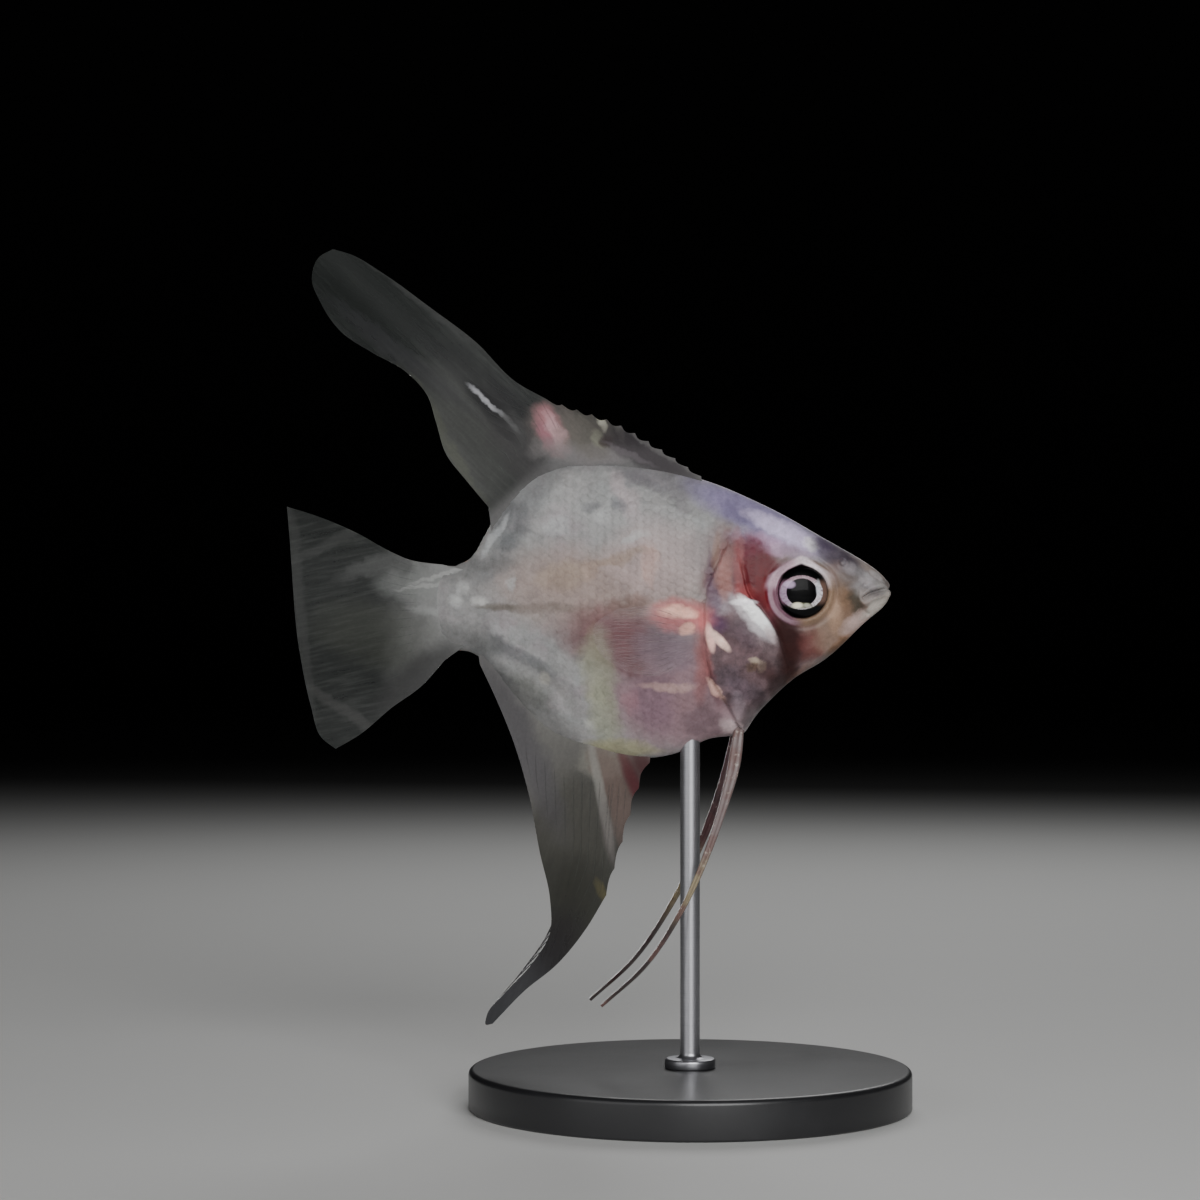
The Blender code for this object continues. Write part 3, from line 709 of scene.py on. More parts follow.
def skin_marks():
    """The markings of head and trunk, painted in this order over the flank's grey."""
    c = bpy.context.scene.angelfish_skin
    return [
        # Flank: warm middle, mauve belly
        Mark(0.668, 0.005, 0.191, 0.0759, 4, linear(154, 132, 124), 0.75, 0.7, 2),
        Mark(0.530, 0.071, 0.090, 0.0690, 0, linear(166, 148, 146), 0.7, 0.7, 2),
        Mark(0.484, -0.225, 0.161, 0.1241, 0, c.mauve, 0.85, 0.5, 2),
        Mark(0.640, -0.106, 0.106, 0.0552, 10, linear(112, 72, 74), 0.85, 0.6, 2),
        Mark(0.640, -0.096, 0.048, 0.0230, 8, linear(110, 64, 68), 0.6, 0.6, 2),
        Mark(0.594, -0.115, 0.023, 0.0506, 0, linear(114, 72, 76), 0.55, 0.7, 2),
        Mark(0.590, -0.025, 0.034, 0.0184, -20, linear(112, 86, 78), 0.65, 0.7, 2),
        Mark(0.636, -0.039, 0.018, 0.0161, 0, linear(114, 88, 82), 0.55, 0.7, 2),
        Mark(0.617, 0.074, 0.062, 0.0115, -8, linear(138, 118, 102), 0.6, 0.7, 2),
        Mark(0.748, 0.034, 0.051, 0.0276, -10, linear(150, 132, 114), 0.5, 0.7, 2),
        Mark(0.548, 0.060, 0.014, 0.0322, 0, linear(188, 152, 142), 0.5, 0.7, 2),
        Mark(0.691, 0.046, 0.014, 0.0276, 0, linear(172, 148, 134), 0.4, 0.7, 2),
        Mark(0.518, -0.122, 0.051, 0.0437, 0, linear(116, 104, 116), 0.7, 0.7, 2),
        Mark(0.541, -0.253, 0.041, 0.0552, -20, linear(118, 92, 106), 0.6, 0.7, 2),
        Mark(0.594, -0.248, 0.018, 0.0230, 0, linear(152, 112, 120), 0.5, 0.7, 2),
        Mark(0.461, -0.257, 0.034, 0.0276, 20, linear(136, 108, 112), 0.5, 0.7, 2),
        Mark(0.438, -0.290, 0.030, 0.0230, 0, linear(100, 82, 88), 0.6, 0.7, 2),
        # Back: greyer towards the fin, with two dark spots and some pale ones
        Mark(0.603, 0.216, 0.051, 0.0184, 60, linear(172, 158, 160), 0.6, 0.7, 2),
        Mark(0.530, 0.257, 0.083, 0.0253, 14, linear(112, 108, 112), 0.75, 0.7, 2),
        Mark(0.576, 0.260, 0.032, 0.0115, 20, linear(98, 94, 98), 0.5, 0.7, 1),
        Mark(0.479, 0.200, 0.023, 0.0138, 80, linear(118, 112, 116), 0.5, 0.7, 2),
        Mark(0.689, 0.193, 0.018, 0.0092, 0, linear(106, 106, 108), 0.7, 0.7, 1),
        Mark(0.626, 0.198, 0.016, 0.0115, 10, linear(98, 98, 102), 0.7, 0.7, 1),
        Mark(0.771, 0.154, 0.021, 0.0207, 0, linear(178, 180, 180), 0.5, 0.7, 2),
        Mark(0.580, 0.120, 0.025, 0.0092, -20, linear(176, 178, 178), 0.5, 0.7, 2),
        Mark(0.668, 0.170, 0.014, 0.0138, 0, linear(178, 178, 178), 0.4, 0.8, 2),
        Mark(0.787, 0.262, 0.046, 0.0207, -40, linear(108, 108, 108), 0.7, 0.8, 2),
        Mark(0.691, 0.294, 0.138, 0.0161, 2, linear(116, 115, 115), 0.6, 0.9, 2),
        # Rear edges, which thin out into the fins
        Mark(0.868, 0.147, 0.078, 0.0299, -62, linear(98, 99, 101), 0.6, 0.8, 2),
        Mark(0.886, 0.108, 0.018, 0.0138, -40, linear(76, 77, 80), 0.45, 0.8, 2),
        Mark(0.893, 0.172, 0.030, 0.0150, -55, linear(84, 84, 86), 0.55, 0.8, 1),
        Mark(0.849, 0.143, 0.016, 0.0161, 0, linear(82, 82, 84), 0.45, 0.8, 2),
        Mark(0.859, 0.184, 0.021, 0.0184, 0, linear(92, 92, 94), 0.4, 0.8, 2),
        Mark(0.914, 0.124, 0.046, 0.0060, -57, linear(180, 181, 182), 0.65, 0.8, 1),
        Mark(0.822, -0.163, 0.087, 0.0103, 35, linear(92, 92, 95), 0.5, 0.9, 1),
        Mark(0.875, -0.136, 0.046, 0.0138, 25, linear(96, 96, 99), 0.45, 0.9, 1),
        Mark(0.776, -0.207, 0.037, 0.0069, 44, linear(80, 78, 76), 0.45, 0.8, 1),
        Mark(0.760, -0.230, 0.087, 0.0161, 40, linear(140, 138, 136), 0.45, 0.8, 2),
        Mark(0.840, -0.230, 0.046, 0.0322, 40, linear(86, 87, 80), 0.6, 0.8, 2),
        Mark(0.898, -0.211, 0.078, 0.0276, 58, linear(80, 80, 81), 0.8, 0.8, 2),
        Mark(0.822, -0.286, 0.080, 0.0380, 42, linear(100, 99, 98), 0.75, 0.8, 2),
        Mark(0.686, -0.299, 0.011, 0.0092, 0, linear(178, 177, 170), 0.7, 0.9, 1),
        Mark(0.794, -0.198, 0.011, 0.0078, 40, linear(160, 156, 146), 0.5, 0.9, 1),
        Mark(0.675, -0.175, 0.069, 0.0322, 80, linear(152, 152, 130), 0.7, 0.7, 2),
        Mark(0.661, -0.285, 0.060, 0.0276, 85, linear(148, 150, 128), 0.65, 0.7, 2),
        Mark(0.617, -0.359, 0.069, 0.0161, 2, linear(152, 148, 116), 0.75, 0.6, 1),
        # Tail root
        Mark(0.985, 0.055, 0.078, 0.0207, -4, linear(88, 88, 88), 0.75, 0.9, 1),
        Mark(0.985, -0.110, 0.069, 0.0253, 10, linear(78, 78, 78), 0.8, 0.9, 1),
        Mark(0.944, 0.034, 0.025, 0.0138, 0, linear(112, 112, 114), 0.5, 0.7, 2),
        Mark(0.948, -0.018, 0.014, 0.0092, 0, linear(226, 224, 220), 0.8, 0.8, 1),
        Mark(0.980, -0.028, 0.055, 0.0782, 0, linear(128, 127, 126), 0.6, 0.9, 2),
        Mark(1.001, -0.018, 0.014, 0.0115, 0, linear(176, 176, 174), 0.6, 0.7, 1),
        Mark(0.983, 0.007, 0.011, 0.0115, 0, linear(176, 176, 174), 0.5, 0.7, 1),
        Mark(0.866, 0.016, 0.011, 0.0161, 0, linear(174, 176, 176), 0.5, 0.7, 2),
        Mark(0.898, -0.078, 0.011, 0.0115, 0, linear(166, 166, 166), 0.5, 0.7, 2),
        Mark(0.902, -0.034, 0.034, 0.0074, 2, linear(92, 88, 78), 0.55, 0.9, 1),
        Mark(0.824, -0.037, 0.083, 0.0080, 2, linear(112, 100, 92), 0.45, 0.9, 1),
        # Undertone of the head, nape and forehead
        Mark(0.300, -0.069, 0.124, 0.1701, 0, linear(118, 88, 92), 0.9, 0.35, 1),
        Mark(0.109, -0.030, 0.110, 0.1103, 0, linear(118, 96, 84), 0.85, 0.3, 1),
        Mark(0.382, 0.050, 0.044, 0.0828, 0, linear(118, 86, 88), 0.8, 0.6, 1),
        Mark(0.440, 0.090, 0.028, 0.0400, 0, linear(128, 116, 115), 0.5, 0.8, 1),
        Mark(0.309, 0.172, 0.152, 0.0414, 27, c.nape, 0.9, 0.45, 1),
        Mark(0.355, 0.179, 0.030, 0.0184, 20, linear(106, 98, 128), 0.6, 0.7, 1),
        # Bright lavender streak along the forehead: lavender colouring with a painted highlight
        Mark(0.243, 0.138, 0.083, 0.0184, 26, linear(214, 200, 232), 0.85, 0.6, 1),
        Mark(0.305, 0.117, 0.051, 0.0161, 8, linear(164, 150, 182), 0.6, 0.7, 1),
        Mark(0.284, 0.108, 0.040, 0.0180, 14, linear(200, 162, 192), 0.75, 0.7, 1),
        Mark(0.225, 0.094, 0.040, 0.0140, 14, linear(172, 150, 168), 0.6, 0.7, 1),
        Mark(0.180, 0.110, 0.018, 0.0115, 30, linear(228, 224, 228), 0.8, 0.6, 1),
        Mark(0.125, 0.083, 0.051, 0.0230, 34, linear(82, 74, 86), 0.9, 0.6, 1),
        Mark(0.098, 0.069, 0.018, 0.0115, 40, linear(54, 46, 56), 0.6, 0.7, 1),
        Mark(0.151, 0.110, 0.025, 0.0092, 30, linear(70, 58, 80), 0.6, 0.7, 1),
        # Crimson and wine behind and below the eye, and painted shade low on the throat
        Mark(0.312, 0.040, 0.080, 0.0460, 84, linear(88, 6, 20), 0.95, 0.4, 1),
        Mark(0.288, 0.000, 0.044, 0.0200, 78, linear(100, 8, 18), 0.85, 0.6, 1),
        Mark(0.330, 0.100, 0.026, 0.0207, 0, linear(96, 26, 46), 0.7, 0.6, 1),
        Mark(0.353, 0.074, 0.051, 0.0092, 88, linear(150, 90, 90), 0.6, 0.7, 1),
        Mark(0.374, 0.099, 0.032, 0.0115, 90, linear(116, 72, 68), 0.5, 0.7, 1),
        Mark(0.341, 0.002, 0.023, 0.0184, 0, linear(146, 66, 66), 0.5, 0.6, 1),
        Mark(0.263, -0.060, 0.025, 0.0207, 40, linear(80, 32, 42), 0.85, 0.6, 1),
        Mark(0.233, -0.110, 0.062, 0.0299, 70, linear(50, 16, 14), 0.9, 0.5, 1),
        Mark(0.180, -0.117, 0.028, 0.0253, 80, linear(108, 60, 56), 0.75, 0.7, 1),
        Mark(0.180, -0.145, 0.023, 0.0115, -30, linear(96, 50, 44), 0.6, 0.7, 1),
        # Near-black low on the throat: painted shade
        Mark(0.249, -0.184, 0.060, 0.0230, 38, linear(30, 16, 12), 0.9, 0.6, 1),
        # Snout and jaws
        Mark(0.134, -0.083, 0.046, 0.0276, -65, linear(142, 118, 104), 0.8, 0.7, 1),
        Mark(0.136, -0.036, 0.052, 0.0170, 72, linear(166, 136, 114), 0.75, 0.7, 1),
        Mark(0.112, -0.008, 0.028, 0.0110, 82, linear(122, 96, 72), 0.6, 0.7, 1),
        Mark(0.102, -0.032, 0.037, 0.0115, 80, linear(110, 84, 64), 0.55, 0.8, 1),
        Mark(0.128, 0.048, 0.032, 0.0161, 20, linear(120, 102, 98), 0.6, 0.6, 1),
        Mark(0.109, -0.110, 0.034, 0.0092, -38, linear(136, 100, 74), 0.7, 0.6, 1),
        Mark(0.208, -0.191, 0.041, 0.0092, -38, linear(122, 92, 82), 0.6, 0.7, 1),
        Mark(0.068, 0.021, 0.048, 0.0276, 38, linear(122, 120, 122), 0.85, 0.6, 1),
        Mark(0.056, 0.034, 0.014, 0.0069, 40, linear(152, 149, 151), 0.6, 0.6, 1),
        # Pale streak on the snout's upper ridge: a painted highlight
        Mark(0.060, 0.019, 0.016, 0.0085, 38, linear(156, 150, 152), 0.6, 0.7, 1),
        Mark(0.107, 0.028, 0.020, 0.0150, 0, linear(92, 78, 72), 0.55, 0.7, 1),
        Mark(0.016, 0.020, 0.010, 0.0080, 45, linear(76, 72, 70), 0.6, 0.8, 1),
        Mark(0.098, 0.058, 0.012, 0.0100, 30, linear(150, 142, 146), 0.5, 0.8, 1),
        Mark(0.033, 0.037, 0.016, 0.0069, 42, linear(162, 159, 159), 0.7, 0.6, 1),
        Mark(0.060, -0.014, 0.020, 0.0110, 38, linear(156, 148, 144), 0.6, 0.7, 1),
        Mark(0.024, 0.007, 0.021, 0.0092, 38, linear(140, 138, 136), 0.7, 0.6, 1),
        Mark(0.083, -0.028, 0.026, 0.0120, 66, linear(50, 50, 40), 0.75, 0.7, 1),
        Mark(0.135, -0.140, 0.036, 0.0100, -42, linear(66, 46, 34), 0.6, 0.8, 1),
        Mark(0.079, -0.069, 0.034, 0.0161, -38, linear(192, 168, 162), 0.8, 0.6, 1),
        Mark(0.033, -0.032, 0.034, 0.0115, -38, linear(184, 178, 170), 0.85, 0.6, 1),
        # Gill cover
        Mark(0.351, -0.166, 0.087, 0.0851, 0, linear(98, 80, 84), 0.85, 0.4, 1),
        Mark(0.364, -0.097, 0.043, 0.0220, 48, linear(96, 74, 78), 0.65, 0.7, 1),
        Mark(0.387, -0.025, 0.021, 0.0230, 0, linear(160, 152, 160), 0.7, 0.6, 1),
        Mark(0.322, -0.072, 0.078, 0.0270, 48, c.silver, 0.85, 0.5, 1),
        Mark(0.344, -0.097, 0.034, 0.0184, 48, linear(92, 76, 84), 0.65, 0.7, 1),
        Mark(0.274, -0.145, 0.030, 0.0184, 50, linear(96, 80, 82), 0.7, 0.7, 1),
        # The bright bar: the gill cover's silver with a painted highlight, white at its core
        Mark(0.322, -0.062, 0.052, 0.0150, 48, linear(206, 200, 204), 0.8, 0.7, 1),
        Mark(0.3125, -0.053, 0.050, 0.0120, 48, linear(255, 255, 255), 1.0, 0.45, 0),
        Mark(0.342, -0.023, 0.026, 0.0064, 0, linear(246, 242, 246), 0.9, 0.5, 0),
        Mark(0.277, -0.099, 0.022, 0.0085, 55, linear(196, 180, 182), 0.75, 0.6, 0),
        Mark(0.240, -0.128, 0.080, 0.0170, 84, linear(46, 22, 20), 0.75, 0.7, 1),
        Mark(0.378, -0.191, 0.030, 0.0180, 10, linear(64, 56, 64), 0.6, 0.7, 1),
        # Near-black low on the throat below the gill cover: painted shade
        Mark(0.262, -0.222, 0.032, 0.0200, 60, linear(30, 18, 16), 0.75, 0.7, 1),
        Mark(0.316, -0.159, 0.010, 0.0060, 0, linear(196, 178, 156), 0.65, 0.9, 1),
        Mark(0.318, -0.172, 0.014, 0.0060, 0, linear(88, 70, 48), 0.6, 0.8, 1),
        Mark(0.298, -0.172, 0.009, 0.0069, 70, linear(168, 150, 134), 0.6, 0.8, 1),
        Mark(0.286, -0.182, 0.021, 0.0138, 20, linear(62, 42, 42), 0.7, 0.7, 1),
        Mark(0.341, -0.225, 0.034, 0.0184, 20, linear(98, 84, 94), 0.6, 0.7, 1),
        Mark(0.305, -0.241, 0.032, 0.0161, 60, linear(60, 52, 56), 0.65, 0.7, 1),
        Mark(0.374, -0.244, 0.011, 0.0092, 0, linear(48, 34, 40), 0.6, 0.7, 1),
        Mark(0.351, -0.255, 0.021, 0.0138, 80, linear(130, 118, 126), 0.5, 0.7, 1),
        Mark(0.322, -0.274, 0.046, 0.0130, -48, linear(52, 40, 44), 0.65, 0.8, 1),
        # Edge of the gill cover
        Mark(0.413, 0.048, 0.034, 0.0092, 86, linear(90, 66, 78), 0.75, 0.7, 1),
        Mark(0.410, -0.023, 0.039, 0.0115, 84, linear(100, 80, 100), 0.6, 0.7, 1),
        Mark(0.399, -0.067, 0.023, 0.0138, 44, linear(88, 58, 90), 0.75, 0.7, 1),
        Mark(0.385, 0.034, 0.041, 0.0138, 98, linear(158, 108, 100), 0.7, 0.7, 1),
        Mark(0.401, 0.092, 0.032, 0.0092, 98, linear(138, 110, 94), 0.5, 0.7, 1),
        Mark(0.413, -0.202, 0.046, 0.0069, 70, linear(92, 56, 62), 0.6, 0.7, 1),
        # Warm strokes and spots behind the gill cover
        Mark(0.434, -0.150, 0.072, 0.0150, 92, linear(146, 90, 88), 0.6, 0.8, 1),
        Mark(0.482, -0.055, 0.062, 0.0299, 4, linear(196, 110, 110), 0.85, 0.6, 1),
        Mark(0.491, -0.046, 0.032, 0.0115, 3, linear(250, 196, 176), 0.9, 0.7, 1),
        Mark(0.470, -0.085, 0.014, 0.0115, 0, linear(250, 192, 172), 0.8, 0.6, 1),
        Mark(0.417, -0.104, 0.024, 0.0075, 80, linear(255, 204, 192), 0.95, 0.7, 0),
        Mark(0.396, -0.110, 0.026, 0.0080, 46, linear(255, 216, 202), 1.0, 0.6, 0),
        Mark(0.403, -0.223, 0.023, 0.0064, 50, linear(212, 172, 160), 0.8, 0.8, 1),
        Mark(0.516, -0.218, 0.044, 0.0074, 0, linear(196, 162, 154), 0.6, 0.9, 1),
        Mark(0.367, -0.308, 0.023, 0.0138, 20, linear(192, 172, 174), 0.75, 0.6, 1),
    ]


def painted(finish, base, marks, place):
    """Lays the marks over a base colour, each with its own raggedness."""
    rough_place = finish.warped(place, 14.0, 0.03)
    ragged = (
        finish.warped(place, 30.0, 0.006),
        finish.warped(rough_place, 45.0, 0.016),
        finish.warped(finish.warped(place, 9.0, 0.07), 40.0, 0.03),
    )
    colour = base
    for mark in marks:
        spot = finish.spot(ragged[mark.ragged], (mark.s, mark.h), (mark.along, mark.across),
                           mark.tilt, mark.soft, mark.strength)
        colour = finish.mix(colour, mark.colour, spot)
    return colour


def around_eye(finish, colour, place):
    """A ring of skin round the eye, drawn up to a pale peak above a dark pointed lid."""
    offset = finish.vector("SUBTRACT", finish.warped(place, 26.0, 0.006),
                           (EYE_S + IRIS_SHIFT * 0.6, 0.0, EYE_H))
    back, _, up = finish.split(offset)
    radius = (back * back + up * up) ** 0.5
    roof = up + (back * back + 0.00002) ** 0.5 * 0.62
    upper = up.rise(0.0, 0.02)
    rear = back.rise(-0.01, 0.03)
    ring = radius.rise(0.082, 0.072)
    ring_colour = finish.mix(linear(132, 108, 88), linear(118, 84, 100), rear)
    colour = finish.mix(colour, ring_colour, ring * 0.8)
    pale = radius.rise(0.064, 0.069) * radius.rise(0.079, 0.073) * rear * 0.7
    colour = finish.mix(colour, linear(170, 140, 152), pale)
    peak = roof.rise(0.0905, 0.0825) * upper * radius.rise(0.090, 0.076)
    arch = finish.mix(linear(240, 226, 232), linear(190, 160, 174), rear)
    colour = finish.mix(colour, arch, peak * back.rise(-0.085, -0.03) * 0.9)
    lid = roof.rise(0.073, 0.066) * upper * (back * back).rise(0.0030, 0.0016)
    colour = finish.mix(colour, linear(14, 6, 12), lid)
    under = radius.rise(0.0625, 0.0575)
    socket = finish.mix(linear(104, 84, 72), linear(112, 78, 92), rear)
    socket = finish.mix(socket, linear(14, 7, 9), (up * up).rise(0.0004, 0.0016))
    return finish.mix(colour, socket, under)


def skin_finish(name, lustre=0.0):
    """Milky, faintly wet skin with the fish's markings."""
    settings = bpy.context.scene.angelfish_skin
    finish = Finish(name, Subsurface_Weight=0.08, Subsurface_Scale=0.001,
                    Subsurface_Radius=(1.0, 0.55, 0.45), Coat_Weight=0.05,
                    Coat_Roughness=0.15, IOR=1.4, Specular_IOR_Level=0.2)
    place = finish.fish_place()
    cloud = finish.noise(place, 7.0, 4.0, 0.6)
    mottle = finish.noise(finish.warped(place, 20.0, 0.04), 34.0, 4.0, 0.65)
    grain = finish.noise(place, 170.0, 2.0, 0.6)
    base = finish.mix(settings.flank, linear(142, 145, 144), cloud.rise(0.35, 0.65) * 0.6)
    base = finish.mix(base, linear(156, 144, 148), finish.noise(place, 11.0).rise(0.5, 0.75) * 0.6)
    colour = painted(finish, base, skin_marks(), place)
    colour = around_eye(finish, colour, place)
    blotch = finish.noise(finish.warped(place, 12.0, 0.05), 15.0, 2.0)
    gills = finish.spot(place, (0.335, -0.18), (0.10, 0.07), 40, 0.4, 1.4)
    shade = 1 + (mottle - 0.5) * (0.8 + gills) + (grain - 0.5) * 0.35 + (blotch - 0.5) * 0.35
    colour = finish.shaded(colour, shade)
    silver = finish.spot(place, (0.311, -0.053), (0.07, 0.024), 52, 0.5)
    finish.set(
        Base_Color=colour,
        Metallic=silver * 0.3 + lustre,
        Roughness=0.42 + (mottle - 0.5) * 0.3,
        Normal=finish.bump(mottle * 0.6 + grain * 0.4, 0.35, 0.0001),
    )
    return finish.material


IRIS_SQUAT = 1.28  # the iris shows this much wider than high
PUPIL_SQUAT = 1.1  # and the pupil this much
IRIS_SHIFT = 0.006  # how far the pupil sits behind the eyeball's middle


def eye_finish():
    """Black pupil in a silver iris, under a glossy cornea, with painted highlights on the iris."""
    settings = bpy.context.scene.angelfish_eyes
    finish = Finish("silver_iris_eye", Coat_Roughness=0.03, IOR=1.15)
    x, _, z = finish.split(finish.own_place())
    x, z = x / STANDARD_LENGTH + IRIS_SHIFT, z / STANDARD_LENGTH
    radius = (x * x + z * z * PUPIL_SQUAT ** 2) ** 0.5
    pupil = settings.pupil / STANDARD_LENGTH
    iris = settings.iris_radius / STANDARD_LENGTH
    turn = finish.node("ShaderNodeMath", {"operation": "ARCTAN2"}, {0: z, 1: x})
    around = finish.node("ShaderNodeCombineXYZ", None, {0: turn * 3.0, 1: radius * 40.0})
    streak = finish.noise(around, 3.0, 4.0, 0.6)
    patch = finish.noise(finish.own_place(), 900.0, 2.0)
    silver = finish.mix(settings.iris, linear(120, 98, 116), streak.rise(0.42, 0.66) * 0.85)
    silver = finish.mix(silver, linear(146, 112, 146), x.rise(-0.012, -0.036) * 0.75)
    silver = finish.mix(silver, linear(150, 112, 126), z.rise(0.02, 0.03) * 0.75)
    black = linear(3, 3, 4)
    wobble = (streak - 0.5) * 0.003
    open_pupil = (radius + wobble).rise(pupil - 0.001, pupil + 0.001)
    colour = finish.mix(black, silver, open_pupil)
    squat = (x * x + z * z * IRIS_SQUAT ** 2) ** 0.5 + wobble
    rim = finish.mix(linear(124, 88, 106), linear(108, 84, 74), x.rise(-0.02, 0.02))
    rim = finish.mix(rim, black, z.math("ABSOLUTE", z).rise(0.016, 0.034))
    colour = finish.mix(colour, rim, squat.rise(iris - 0.002, iris + 0.001))
    front = finish.node("ShaderNodeCombineXYZ", None, {0: x, 2: z})
    # Painted highlights: pale glints below the pupil and on the iris in front and behind
    for centre, size, tint, strength in (
        ((0.0, -0.0305), (0.022, 0.0055), linear(118, 118, 94), 0.85),
        ((-0.010, -0.0295), (0.010, 0.0054), linear(252, 246, 220), 0.95),
        ((0.011, -0.0290), (0.006, 0.0036), linear(196, 196, 178), 0.75),
        ((0.0385, 0.010), (0.0048, 0.015), linear(206, 212, 218), 0.7),
        ((-0.028, 0.018), (0.010, 0.007), linear(214, 186, 222), 0.7),
    ):
        colour = finish.mix(colour, tint, finish.spot(front, centre, size, 0, 0.6, strength))
    finish.set(Base_Color=colour, Roughness=0.34 + patch * 0.1,
               Coat_Weight=open_pupil * 0.2 + 0.06)
    return finish.material


def fin_marks(fin):
    """The markings of one upright fin."""
    pale, dark, olive = linear(150, 152, 150), linear(22, 22, 24), linear(60, 62, 56)
    if fin == "dorsal_fin":
        return [
            Mark(1.22, 0.70, 0.17, 0.10, 42, linear(18, 22, 20), 0.85, 0.8, 2),
            Mark(0.985, 0.350, 0.13, 0.10, 60, linear(72, 73, 71), 0.8, 0.7, 2),
            Mark(1.03, 0.36, 0.12, 0.012, 60, linear(84, 86, 74), 0.4, 0.9, 2),
            Mark(1.12, 0.54, 0.15, 0.016, 38, linear(54, 54, 56), 0.5, 0.9, 1),
            Mark(1.04, 0.640, 0.26, 0.008, 38, linear(60, 61, 60), 0.5, 0.9, 1),
            Mark(0.97, 0.50, 0.12, 0.020, 40, dark, 0.4, 0.8, 1),
            Mark(0.86, 0.345, 0.10, 0.035, 60, linear(58, 56, 57), 0.6, 0.8, 2),
            Mark(0.855, 0.425, 0.09, 0.014, 47, dark, 0.6, 0.8, 1),
            Mark(0.900, 0.385, 0.04, 0.012, 44, dark, 0.5, 0.8, 1),
            Mark(0.926, 0.436, 0.056, 0.017, 40, dark, 0.85, 0.7, 0),
            # Pale streak in two prongs on the membrane: a painted highlight
            Mark(0.930, 0.440, 0.036, 0.0048, 40, linear(160, 160, 164), 0.9, 0.9, 1),
            Mark(0.884, 0.400, 0.030, 0.0040, 44, linear(92, 92, 92), 0.6, 0.9, 1),
            Mark(0.775, 0.375, 0.050, 0.045, 60, linear(98, 90, 87), 0.7, 0.7, 2),
            Mark(0.781, 0.373, 0.048, 0.024, 62, linear(164, 112, 118), 0.85, 0.7, 1),
            Mark(0.770, 0.362, 0.038, 0.011, 62, linear(196, 160, 164), 0.7, 0.8, 2),
            Mark(0.790, 0.350, 0.026, 0.010, 64, linear(136, 92, 102), 0.6, 0.8, 2),
            Mark(0.720, 0.318, 0.075, 0.022, 4, linear(112, 108, 108), 0.7, 0.8, 2),
            Mark(0.650, 0.318, 0.080, 0.018, 0, linear(110, 106, 107), 0.7, 0.8, 2),
            Mark(0.705, 0.362, 0.055, 0.040, 30, linear(94, 90, 84), 0.75, 0.7, 2),
            Mark(0.667, 0.384, 0.015, 0.0065, 62, linear(172, 170, 156), 0.8, 0.8, 1),
            Mark(0.674, 0.352, 0.018, 0.010, 60, linear(120, 120, 106), 0.6, 0.8, 1),
            Mark(0.655, 0.345, 0.014, 0.011, 0, linear(52, 42, 40), 0.8, 0.6, 1),
            Mark(0.630, 0.375, 0.030, 0.006, 60, linear(96, 94, 90), 0.6, 0.7, 1),
            Mark(0.560, 0.315, 0.110, 0.024, 28, linear(42, 36, 40), 0.8, 0.6, 1),
            Mark(0.550, 0.336, 0.110, 0.006, 31, linear(92, 90, 90), 0.6, 0.7, 1),
            Mark(0.600, 0.318, 0.050, 0.005, 26, linear(96, 90, 94), 0.5, 0.7, 1),
        ]
    if fin == "anal_fin":
        return [
            Mark(0.75, -0.46, 0.12, 0.10, 75, linear(82, 80, 77), 0.7, 0.8, 2),
            Mark(0.74, -0.60, 0.14, 0.09, 80, linear(64, 63, 57), 0.7, 0.8, 2),
            Mark(0.652, -0.385, 0.045, 0.035, 0, linear(124, 122, 114), 0.65, 0.8, 2),
            Mark(0.860, -0.320, 0.17, 0.034, 66, linear(72, 70, 73), 0.8, 0.9, 2),
            Mark(0.632, -0.460, 0.10, 0.026, 72, linear(100, 84, 78), 0.75, 0.9, 2),
            Mark(0.588, -0.445, 0.09, 0.012, 68, linear(74, 28, 34), 0.85, 0.8, 0),
            Mark(0.570, -0.395, 0.035, 0.020, 60, linear(60, 24, 28), 0.85, 0.8, 0),
            Mark(0.668, -0.455, 0.095, 0.008, 79, linear(132, 131, 126), 0.7, 0.9, 0),
            Mark(0.652, -0.540, 0.06, 0.010, 80, linear(98, 92, 90), 0.6, 0.9, 0),
            Mark(0.666, -0.685, 0.020, 0.009, 70, linear(112, 104, 66), 0.7, 0.7, 1),
            Mark(0.735, -0.72, 0.09, 0.07, 70, linear(40, 40, 35), 0.8, 0.8, 2),
            Mark(0.79, -0.83, 0.08, 0.05, -55, linear(34, 31, 33), 0.8, 0.8, 1),
            Mark(0.88, -0.94, 0.09, 0.05, -48, linear(54, 54, 57), 0.8, 0.7, 1),
        ]
    return [
        Mark(1.06, 0.020, 0.075, 0.030, 0, linear(126, 128, 126), 0.5, 0.9, 2),
        Mark(1.03, 0.040, 0.05, 0.004, -16, linear(170, 170, 168), 0.4, 0.9, 1),
        Mark(1.06, 0.016, 0.05, 0.004, -8, linear(170, 170, 168), 0.35, 0.9, 1),
        Mark(1.04, -0.050, 0.05, 0.007, 10, pale, 0.4, 0.9, 1),
        Mark(1.15, 0.075, 0.09, 0.016, -20, linear(84, 85, 84), 0.6, 0.9, 2),
        Mark(1.18, -0.10, 0.10, 0.05, 12, olive, 0.5, 0.9, 2),
        Mark(1.075, -0.190, 0.10, 0.034, -39, linear(50, 50, 50), 0.85, 0.8, 1),
        Mark(1.36, -0.06, 0.010, 0.26, -6, linear(62, 63, 62), 0.6, 0.9, 1),
        Mark(1.20, -0.31, 0.14, 0.010, 32, linear(68, 68, 67), 0.6, 0.9, 1),
        Mark(1.24, 0.135, 0.16, 0.009, -24, linear(64, 65, 64), 0.6, 0.9, 1),
    ]


